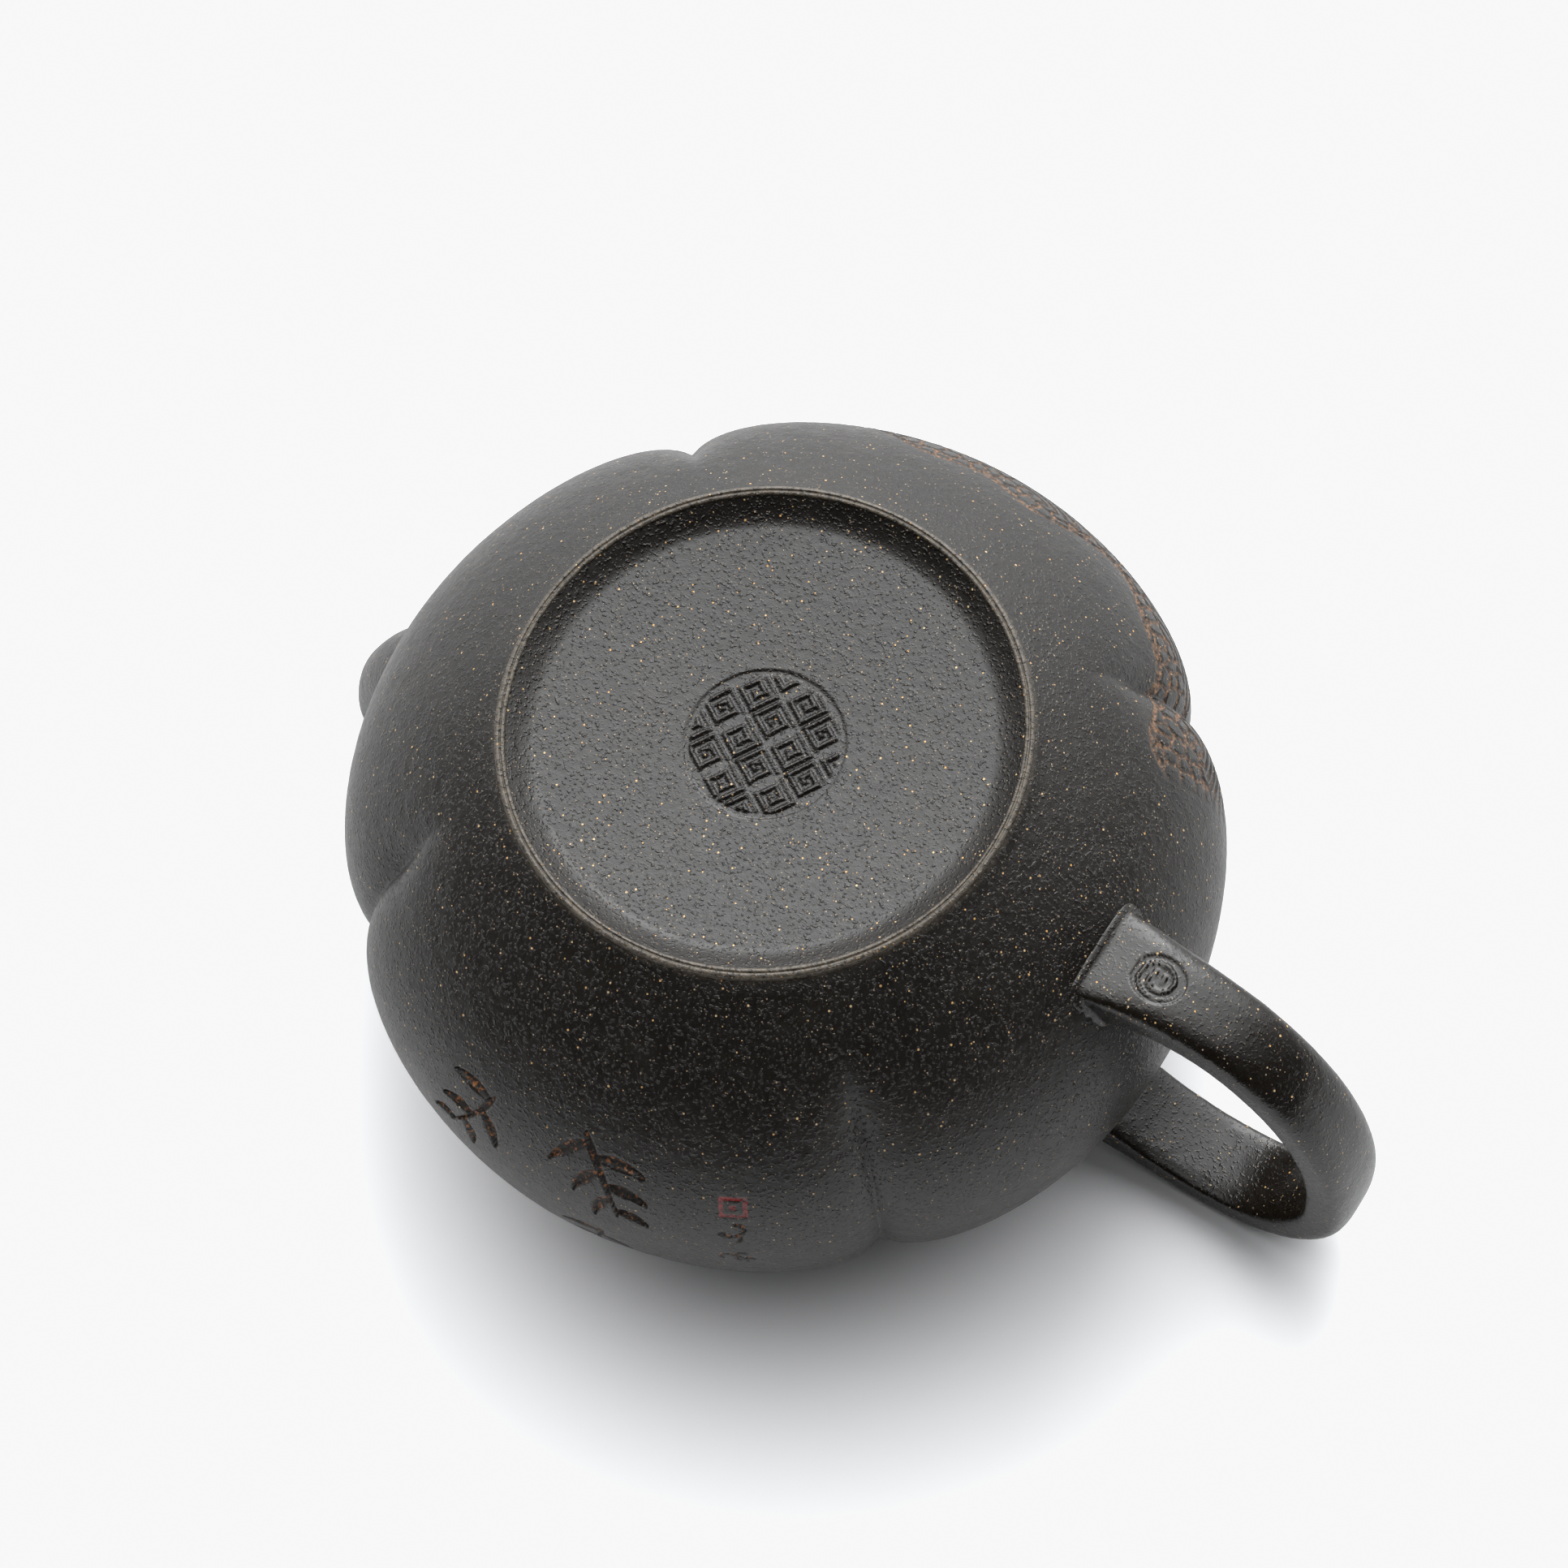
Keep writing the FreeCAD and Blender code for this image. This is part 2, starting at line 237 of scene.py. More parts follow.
@dataclass
class Piece:
    """One closed piece gathered from grids and flat faces, in millimetres."""

    name: str
    points: list = field(default_factory=list)
    normals: list = field(default_factory=list)
    faces: list = field(default_factory=list)
    marks: dict = field(default_factory=dict)

    def count(self) -> int:
        """Number of vertices so far."""
        return sum(len(p) for p in self.points)

    def add_points(self, points: Array, normals: Array, **marks: Array) -> int:
        """Add vertices.

        Args:
            points: Their places, any number of leading axes.
            normals: Their directions, in the same shape.
            marks: Named values of each vertex, such as how deep it is cut.

        Returns:
            Index of the first new vertex.
        """
        first = self.count()
        self.points.append(points.reshape(-1, 3))
        self.normals.append(normals.reshape(-1, 3))
        for name, values in marks.items():
            filled = np.broadcast_to(values, points.shape[:-1]).ravel()
            self.marks.setdefault(name, []).append((first, filled))
        return first

    def build(self, carrier: Carrier, slot: Slot, *replaced: str) -> bpy.types.Object:
        """Make the Blender object.

        Args:
            carrier: The body that the piece rides on.
            slot: Not used.
            replaced: The frame's nodes that it stands for.

        Returns:
            The finished object, at the origin, in metres.
        """
        mesh = bpy.data.meshes.new(self.name)
        points = np.concatenate(self.points) * MM
        faces = [face for part in self.faces for face in part]
        mesh.from_pydata(points.tolist(), [], faces)
        mesh.polygons.foreach_set("use_smooth", np.ones(len(faces), bool))
        for name, parts in self.marks.items():
            values = np.zeros(len(points), np.float32)
            for first, part in parts:
                values[first:first + len(part)] = part
            mesh.attributes.new(name, "FLOAT", "POINT").data.foreach_set("value", values)
        mesh.normals_split_custom_set_from_vertices(np.concatenate(self.normals).tolist())
        mesh.update()
        made = bpy.data.objects.new(self.name, mesh)
        bpy.context.scene.collection.objects.link(made)
        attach(made, carrier.value)
        if replaced:
            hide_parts(*replaced)
        log.info("%s: %d vertices on %s", self.name, len(points), carrier.value)
        return made


# ---------------------------------------------------------------- carving


@dataclass(frozen=True)
class Stroke:
    """One knife cut: a curve of three control points that swells and tapers, in millimetres."""

    start: tuple
    bend: tuple
    end: tuple
    width: float
    swell: float = 0.3
    rise: float = 0.6
    fall: float = 0.7
    tip: float = 0.04
    spans: int = 14

    def cover(self, x: Array, y: Array) -> Array:
        """How far inside the cut each place is.

        Args:
            x: Distance to the side of the carving's centre.
            y: Distance above it.

        Returns:
            0 on and outside the edge, and up to 1 on the middle line: 1 - distance / half width,
            the half width rising to the swell and falling to the tip.
        """
        t = np.linspace(0.0, 1.0, self.spans + 1)
        line = bezier((self.start, self.bend, self.end), t)
        rise = np.clip(t / self.swell, 0.0, 1.0) ** self.rise
        fall = np.clip((1.0 - t) / (1.0 - self.swell), 0.0, 1.0) ** self.fall
        half = 0.5 * self.width * rise * fall + self.tip
        best = np.zeros(x.shape)
        near = ((x > line[:, 0].min() - self.width) & (x < line[:, 0].max() + self.width)
                & (y > line[:, 1].min() - self.width) & (y < line[:, 1].max() + self.width))
        px, py = x[near], y[near]
        found = np.zeros(px.shape)
        for a, b, wa, wb in zip(line[:-1], line[1:], half[:-1], half[1:]):
            d = b - a
            share = np.clip(((px - a[0]) * d[0] + (py - a[1]) * d[1]) / (d @ d), 0.0, 1.0)
            away = np.hypot(px - a[0] - share * d[0], py - a[1] - share * d[1])
            found = np.maximum(found, 1.0 - away / (wa + share * (wb - wa)))
        best[near] = found
        return best


@dataclass(frozen=True)
class Spray:
    """A carved spray of leaves at a place on the body: a bowed twig with leaves to both sides."""

    turn: float
    height: float
    size: float
    lean: float
    leaves: int
    width: float
    depth: float = 0.5
    root_x: float = 0.4
    bend_x: float = -0.8
    tip_x: float = 0.5
    twig_swell: float = 0.2
    leaf_swell: float = 0.4
    lowest: float = 0.75
    reach: tuple = (0.52, 0.32)
    angle: tuple = (62.0, 40.0)
    droop: float = 0.9
    sag: tuple = (0.6, -0.9)

    def turned(self, x: float, y: float) -> tuple:
        """A point of the spray, turned by the lean about the twig's middle."""
        a = math.radians(self.lean)
        return (x * math.cos(a) + y * math.sin(a), y * math.cos(a) - x * math.sin(a))

    def leaf(self, share: float, side: float) -> Stroke:
        """One leaf.

        Args:
            share: How far along the row of leaves it is, from 0 at the root to 1 at the tip.
            side: 1 for the right of the twig and -1 for the left.

        Returns:
            The leaf. Its length and its angle to the twig both shrink towards the tip.
        """
        half = 0.5 * self.size
        foot_y = self.lowest * half * (2.0 * share - 1.0)
        bow = 0.5 * (self.root_x - self.bend_x) * (1.0 - (foot_y / half) ** 2)
        foot_x = self.root_x - bow
        reach = self.size * (self.reach[0] + (self.reach[1] - self.reach[0]) * share)
        angle = math.radians(self.angle[0] + (self.angle[1] - self.angle[0]) * share)
        tip_x = foot_x + side * reach * math.sin(angle)
        tip_y = foot_y + reach * math.cos(angle) * self.droop
        bend_x = 0.5 * (foot_x + tip_x) + side * self.sag[0]
        bend = self.turned(bend_x, 0.5 * (foot_y + tip_y) + self.sag[1])
        return Stroke(self.turned(foot_x, foot_y), bend, self.turned(tip_x, tip_y), self.width,
                      self.leaf_swell)

    def cover(self, x: Array, y: Array) -> Array:
        """The deepest of its strokes at each place, from 0 to 1."""
        half = 0.5 * self.size
        strokes = [Stroke(self.turned(self.root_x, -half), self.turned(self.bend_x, 0.0),
                          self.turned(self.tip_x, half), 0.5 * self.width, self.twig_swell)]
        for k in range(self.leaves):
            strokes.append(self.leaf(k / (self.leaves - 1.0), -1.0 if k % 2 else 1.0))
        return np.max([stroke.cover(x, y) for stroke in strokes], axis=0)


@dataclass(frozen=True)
class SquareMark:
    """A small painted square with a dot in it."""

    turn: float = -117.0
    height: float = 20.0
    half: float = 1.35
    line: float = 0.24
    line_edge: tuple = (0.5, 1.6)
    dot: float = 0.42
    dot_edge: tuple = (0.6, 1.3)
    depth: float = 0.12

    def cover(self, x: Array, y: Array) -> Array:
        """1 on the square's line and on the dot, fading over a fraction of a millimetre."""
        ring = np.abs(np.maximum(np.abs(x), np.abs(y)) - self.half)
        frame_line = 1.0 - smooth(self.line_edge[0] * self.line, self.line_edge[1] * self.line, ring)
        dot = 1.0 - smooth(self.dot_edge[0] * self.dot, self.dot_edge[1] * self.dot, np.hypot(x, y))
        return np.maximum(frame_line, dot)


@dataclass(frozen=True)
class Landscape:
    """Scratched hills round the back of the body: rock cells low down and folded slopes over them."""

    first: float = 66.0
    last: float = 152.0
    fades: tuple = (7.0, 6.0)
    low: float = 15.5
    rocks_high: float = 5.5
    crest: float = 27.0
    shore_waves: tuple = ((2.6, 8.0, 0.6), (1.2, 3.1, 0.0))
    ridge_waves: tuple = ((3.0, 11.0, 2.0),)
    hills: tuple = ((6.5, 13.5, 0.4),)
    crags: tuple = ((1.5, 4.0, 0.0),)
    fold_waves: tuple = ((2.4, 5.2, 0.0),)
    ripple: tuple = (1.1, 2.3, 4.0)
    fold_pitch: float = 1.7
    fold_slant: float = 0.25
    fold_share: float = 0.8
    soft: float = 0.3
    cell: float = 2.3
    scatter: float = 0.38
    seed: int = 11
    below: float = 5.0
    above: float = 4.0
    line: float = 0.34
    depth: float = 0.26

    @staticmethod
    def waves(x: Array, rows: tuple) -> Array:
        """Sum of sines; each row is its height, its length and its start."""
        return sum(height * np.sin(x / length + start) for height, length, start in rows)

    def over(self, edge: Array, height: Array) -> Array:
        """1 above an edge and 0 below it, with a narrow blend."""
        return smooth(edge - self.soft, edge + self.soft, height)

    def stroke(self, low: float, high: float, away: Array) -> Array:
        """1 on a line and 0 off it; it fades between two multiples of the line's width."""
        return 1.0 - smooth(low * self.line, high * self.line, away)

    def cover(self, turn: Array, height: Array, radius: float) -> Array:
        """How much each place is scratched, from 0 to 1.

        Args:
            turn: Angle round the body in degrees.
            height: Height in millimetres.
            radius: Radius that turns angles into distances.

        Returns:
            Thin lines: the edges between rock cells (where the two nearest of a set of scattered
            points are equally far) and bent level lines on the slopes above them.
        """
        x = np.radians(turn) * radius
        ends = smooth(self.first, self.first + self.fades[0], turn)
        ends = ends * (1.0 - smooth(self.last - self.fades[1], self.last, turn))
        floor = self.low + self.waves(x, self.shore_waves)
        ridge = floor + self.rocks_high + self.waves(x, self.ridge_waves)
        peak = self.crest + np.abs(self.waves(x, self.hills)) + self.waves(x, self.crags)
        rocks = self.over(floor, height) * (1.0 - self.over(ridge, height))
        slopes = self.over(ridge, height) * (1.0 - self.over(peak, height))
        rise, length, drift = self.ripple
        bent = height + self.waves(x, self.fold_waves) + rise * np.sin(x / length + height / drift)
        half = 0.5 * self.fold_pitch
        folds = self.stroke(0.3, 1.2, np.abs((bent + self.fold_slant * x) % self.fold_pitch - half))
        skyline = self.stroke(0.4, 1.4, np.abs(height - peak))
        shore = self.stroke(0.4, 1.4, np.abs(height - floor))
        inside = np.maximum(self.cell_edges(x, height) * rocks, folds * slopes * self.fold_share)
        return np.maximum(inside, np.maximum(skyline, shore)) * ends

    def cell_edges(self, x: Array, y: Array) -> Array:
        """Lines where the nearest two of the scattered points are equally far away."""
        rng = np.random.default_rng(self.seed)
        low_x, high_x = x.min() - self.cell, x.max() + self.cell
        low_y, high_y = self.low - self.below, self.crest + self.above
        columns = np.arange(math.floor(low_x / self.cell), high_x / self.cell)
        rows = np.arange(math.floor(low_y / self.cell), high_y / self.cell)
        centres_x, centres_y = np.meshgrid(columns, rows)
        jitter = rng.uniform(-self.scatter, self.scatter, (2,) + centres_x.shape)
        seeds_x = ((centres_x + jitter[0]) * self.cell).ravel()
        seeds_y = ((centres_y + jitter[1]) * self.cell).ravel()
        nearest = np.full(x.shape, np.inf)
        second = np.full(x.shape, np.inf)
        for sx, sy in zip(seeds_x, seeds_y):
            away = np.hypot(x - sx, y - sy)
            second = np.minimum(second, np.maximum(nearest, away))
            nearest = np.minimum(nearest, away)
        return self.stroke(0.5, 2.0, second - nearest)


@dataclass(frozen=True)
class Fret:
    """Raised square spirals, one to a cell, like a woven border."""

    cell: float = 4.15
    pitch: float = 1.1
    line: float = 0.46
    edge: tuple = (0.08, 0.10)
    gap: tuple = (0.12, 0.18)

    def cover(self, x: Array, y: Array) -> Array:
        """Where the lines are.

        Args:
            x: Distance across.
            y: Distance up.

        Returns:
            1 on a line and 0 off it. The line is where the square distance from the cell's centre,
            less a quarter of the pitch for each side passed, is a whole number of pitches.
        """
        column, row = np.floor(x / self.cell), np.floor(y / self.cell)
        u, v = x - (column + 0.5) * self.cell, y - (row + 0.5) * self.cell
        u = np.where((column + row) % 2 > 0, -u, u)
        side = np.select([u >= np.abs(v), v >= np.abs(u), -u >= np.abs(v)], [0.0, 1.0, 2.0], 3.0)
        out = np.maximum(np.abs(u), np.abs(v))
        off_line = np.abs((out - 0.25 * self.pitch * side) % self.pitch - 0.5 * self.pitch)
        gap = smooth(0.0, self.gap[1], 0.5 * self.cell - out - self.gap[0])
        half = 0.5 * self.line
        return (1.0 - smooth(half - self.edge[0], half + self.edge[1], off_line)) * gap


# ---------------------------------------------------------------- the body


@dataclass(frozen=True)
class BodyForm:
    """Outline and grooves of the body, in millimetres and degrees."""

    foot_r: float = 30.0
    lip_z: float = 0.9
    belly_r: float = 52.2
    belly_z: float = 30.5
    shoulder_r: float = 33.0
    shoulder_z: float = 58.5
    wall: float = 3.0
    mouth_r: float = 27.0
    mouth_groove: float = 1.3
    floor_r: float = 26.3
    floor_z: float = 5.4
    foot_bend: tuple = (41.5, 9.0)
    belly_low_z: float = 17.5
    belly_high_z: float = 43.5
    shoulder_bend: tuple = (46.0, 55.6)
    floor_bend: tuple = (38.0, 10.5)
    inner_low_z: float = 19.0
    inner_high_z: float = 42.0
    ceiling_bend: tuple = (42.0, 54.2)
    ceiling_z: float = 55.8
    fine: int = 200
    coarse: int = 60
    turn: float = -0.3
    groove: float = 3.2
    spread: float = 5.7
    softness: float = 0.2
    crease: float = 0.15
    crease_spread: float = 1.3
    start_z: float = 4.5
    full_z: float = 16.0
    inner_share: float = 0.6

    def outside(self) -> Array:
        """Outline of the outside from the foot to the mouth ring, as dense (radius, height) rows."""
        t = np.linspace(0.0, 1.0, self.fine)
        belly = (self.belly_r, self.belly_z)
        low = bezier(((self.foot_r, self.lip_z), self.foot_bend, (self.belly_r, self.belly_low_z),
                      belly), t)
        high = bezier((belly, (self.belly_r, self.belly_high_z), self.shoulder_bend,
                       (self.shoulder_r, self.shoulder_z)), t)
        return np.concatenate([low, high[1:]])

    def inside(self) -> Array:
        """Outline of the inside, from the seat on the base slab up through the mouth."""
        r = self.belly_r - self.wall
        t = np.linspace(0.0, 1.0, self.coarse)
        belly = (r, self.belly_z)
        low = bezier(((self.floor_r, self.floor_z), self.floor_bend, (r, self.inner_low_z), belly), t)
        high = bezier((belly, (r, self.inner_high_z), self.ceiling_bend, (self.mouth_r, self.ceiling_z)), t)
        seat = [(self.foot_r - 1.0, self.lip_z), (self.foot_r - 1.0, self.floor_z)]
        return np.concatenate([seat, low, high[1:], [(self.mouth_r, self.shoulder_z)]])

    def share(self, turn: Array) -> Array:
        """Share of the groove's depth at an angle: a wide and a narrow exp(-distance / spread)."""
        off_middle = np.abs((turn - self.turn + HALF_LOBE) % LOBE_ANGLE - HALF_LOBE)
        distance = np.sqrt((HALF_LOBE - off_middle) ** 2 + self.softness ** 2) - self.softness
        wide = np.exp(-distance / self.spread)
        return wide + self.crease * (np.exp(-distance / self.crease_spread) - wide)

    def groove_at(self, r: Array, z: Array) -> Array:
        """Depth of the grooves: they fade in over the foot and follow the radius over the belly."""
        rise = smooth(self.start_z, self.full_z, z)
        return self.groove * rise * np.where(z > self.belly_z, r / self.belly_r, 1.0)

    def place(self, turn: Array, r: Array, z: Array, groove: Array) -> Array:
        """Points at angles and outline rows, in at the grooves by their depth."""
        out = r - groove * self.share(turn)
        a = np.radians(turn)
        return np.stack(np.broadcast_arrays(out * np.cos(a), out * np.sin(a), z), axis=-1)

    def clearance(self, points: Array) -> tuple[Array, Array, Array]:
        """Where points are against the outside.

        Args:
            points: Places in millimetres.

        Returns:
            Distance outside the surface, the surface's radius at that height and angle, and the
            radial share of its normal.
        """
        line = self.outside()
        r = np.interp(points[..., 2], line[:, 1], line[:, 0])
        slope = np.gradient(line[:, 0], line[:, 1])
        tilt = 1.0 / np.sqrt(1.0 + np.interp(points[..., 2], line[:, 1], slope) ** 2)
        turn = np.degrees(np.arctan2(points[..., 1], points[..., 0]))
        surface = r - self.groove_at(r, points[..., 2]) * self.share(turn)
        away = (np.hypot(points[..., 0], points[..., 1]) - surface) * tilt
        return away, surface, tilt


FORM = BodyForm()
HANDS = HandWork()


@dataclass(frozen=True)
class Lobe:
    """One of the body's four lobes, from groove to groove and from the foot to the mouth ring."""

    name: str
    middle: float
    columns: int
    rows: int
    sprays: tuple = ()
    square: SquareMark | None = None
    landscape: Landscape | None = None
    inner_columns: int = 31
    inner_rows: int = 56
    cut_edge: float = 2.2
    cut_floor: float = 1.5
    seam: float = 1.6
    extra_rough: float = 0.9
    rough_fade: tuple = (8.0, 24.0)
    cut_smooth: float = 0.8
    # Share of the paler colour at the foot's edge: wear and painted sheen.
    worn: float = 0.5
    worn_fade: tuple = (0.1, 0.6)
    foot_specks: tuple = (0.75, 1.2, 5.0)
    root_middle: tuple = (-42.0, 2.0, 13.0)
    root_specks: tuple = (5.0, 17.0)
    mouth_from_z: float = 55.0

    def carving(self, turn: Array, line: Array) -> tuple[Array, Array, Array, Array]:
        """Depth of the carving and what colours it.

        Args:
            turn: Angles of the columns in degrees, as one row.
            line: Rows of the outline, as radius, height and distance along it.

        Returns:
            The depth in millimetres, and three values from 0 to 1: in a knife cut, in a scratched
            line, and in the painted square.
        """
        shape = (len(line), turn.size)
        depth, cut, scratch, paint = (np.zeros(shape) for _ in range(4))
        for mark in self.sprays + ((self.square,) if self.square else ()):
            r = np.interp(mark.height, line[:, 1], line[:, 0])
            s = np.interp(mark.height, line[:, 1], line[:, 2])
            x, y = np.broadcast_arrays(np.radians(turn - mark.turn) * r, line[:, 2:3] - s)
            cover = mark.cover(x, y)
            if mark is self.square:
                paint = np.maximum(paint, cover)
                depth = np.maximum(depth, mark.depth * cover)
            else:
                cut = np.maximum(cut, np.clip(self.cut_edge * cover, 0.0, 1.0))
                depth = np.maximum(depth, mark.depth * np.clip(self.cut_floor * cover, 0.0, 1.0))
        if self.landscape:
            angles, heights = np.broadcast_arrays(turn, line[:, 1:2])
            scratch = self.landscape.cover(angles, heights, FORM.belly_r)
            depth = np.maximum(depth, self.landscape.depth * scratch)
        return depth, cut, scratch, paint

    def outer(self) -> tuple[Array, Array, dict]:
        """The carved outside.

        Returns:
            Points, normals and marks on a grid. The form is the outline turned round the axis less
            the grooves, moved along its normal by the hand work less the carving. One column over
            each edge is worked out and dropped, so that neighbours meet with the same normals.
        """
        line = evenly(FORM.outside(), self.rows)
        line = np.column_stack([line, lengths_along(line)])
        reach = HALF_LOBE + LOBE_ANGLE / (self.columns - 1)
        turn = (self.middle + FORM.turn + np.linspace(-reach, reach, self.columns + 2))[None, :]
        r, z = line[:, 0:1], line[:, 1:2]
        form = FORM.place(turn, r, z, FORM.groove_at(r, z))
        out = grid_normals(form)
        along = line[:, 2:3]
        edge = smooth(0.0, self.seam, along) * smooth(0.0, self.seam, line[-1, 2] - along)
        depth, cut, scratch, paint = self.carving(turn, line)
        rough = 1.0 + self.extra_rough * (1.0 - smooth(*self.rough_fade, z))
        height = (HANDS.at(form) * rough * (1.0 - self.cut_smooth * cut) - depth) * edge
        points = form + out * height[..., None]
        normals = grid_normals(points)
        # A band just over the foot bead takes the paler colour: wear and painted sheen.
        worn = self.worn * (1.0 - smooth(*self.worn_fade, along))
        marks = {"cut": cut, "scratch": scratch, "paint": paint, "speckle": self.speckle(form),
                 "worn": worn}
        kept = {name: np.broadcast_to(v, points.shape[:-1])[:, 1:-1] for name, v in marks.items()}
        return points[:, 1:-1], normals[:, 1:-1], kept

    def speckle(self, points: Array) -> Array:
        """How many grains show: more round the foot's edge and round the handle's lower root."""
        share, low, high = self.foot_specks
        foot = 1.0 - smooth(low, high, points[..., 2])
        root = np.linalg.norm(points - np.array(self.root_middle), axis=-1)
        return np.maximum(share * foot, 1.0 - smooth(*self.root_specks, root))

    def inner(self) -> tuple[Array, Array]:
        """The inside: its outline turned round the axis, with shallower grooves."""
        line = evenly(FORM.inside(), self.inner_rows)
        line[-1] = (FORM.mouth_r, FORM.shoulder_z)
        across = np.linspace(-HALF_LOBE, HALF_LOBE, self.inner_columns)
        turn = (self.middle + FORM.turn + across)[None, :]
        r, z = line[:, 0:1], line[:, 1:2]
        groove = FORM.groove_at(r, z) * FORM.inner_share
        groove = np.where(z > self.mouth_from_z, FORM.mouth_groove, groove)
        points = FORM.place(turn, r, z, groove)
        return points, -grid_normals(points)

    def build(self, clay: bpy.types.Material) -> bpy.types.Object:
        """Make the lobe as a closed shell, flat across its two sides, its foot and its top."""
        piece = Piece(self.name)
        points, normals, marks = self.outer()
        a = piece.add_points(points, normals, **marks)
        piece.faces.append(grid_faces(self.rows, self.columns, a).tolist())
        inside, inward = self.inner()
        b = piece.add_points(inside, inward)
        piece.faces.append(grid_faces(self.inner_rows, self.inner_columns, b, flip=True).tolist())
        outer = a + np.arange(self.rows * self.columns).reshape(self.rows, self.columns)
        inner = b + np.arange(self.inner_rows * self.inner_columns).reshape(self.inner_rows, -1)
        rings = [np.concatenate([inner[0], outer[0, ::-1]]),
                 np.concatenate([outer[-1], inner[-1, ::-1]]),
                 np.concatenate([outer[:, 0], inner[::-1, 0]]),
                 np.concatenate([inner[:, -1], outer[::-1, -1]])]
        piece.faces.append([ring.tolist() for ring in rings])
        made = piece.build(Carrier.POT, Slot.BODY, "body_wall", "shoulder_disc")
        made.data.materials.append(clay)
        return made


@dataclass(frozen=True)
class LobedBody:
    """The four lobes and what is carved on them."""

    sprays: tuple = (Spray(-79.5, 22.0, 12.0, 28.0, 5, 1.75), Spray(-99.5, 20.0, 13.5, -24.0, 6, 1.85),
                     Spray(-98.0, 36.0, 10.0, 15.0, 5, 1.6), Spray(-117.2, 24.4, 3.4, 60.0, 3, 0.6, 0.25),
                     Spray(-117.0, 30.0, 3.6, -50.0, 4, 0.6, 0.25))
    square: SquareMark = SquareMark()
    hills: Landscape = Landscape()
    carved: int = 300
    part_carved: int = 260
    plain: int = 240

    def build(self, clay: bpy.types.Material) -> None:
        """Make each lobe; the front and back ones are finer because they are carved."""
        fine, middling, plain = self.carved, self.part_carved, self.plain
        for lobe in (Lobe("lobe_front", -90.0, fine, fine, self.sprays, self.square),
                     Lobe("lobe_back", 90.0, fine, fine, (), None, self.hills),
                     Lobe("lobe_handle", 180.0, middling, middling, (), None, self.hills),
                     Lobe("lobe_spout", 0.0, plain, plain)):
            lobe.build(clay)


# ---------------------------------------------------------------- the base


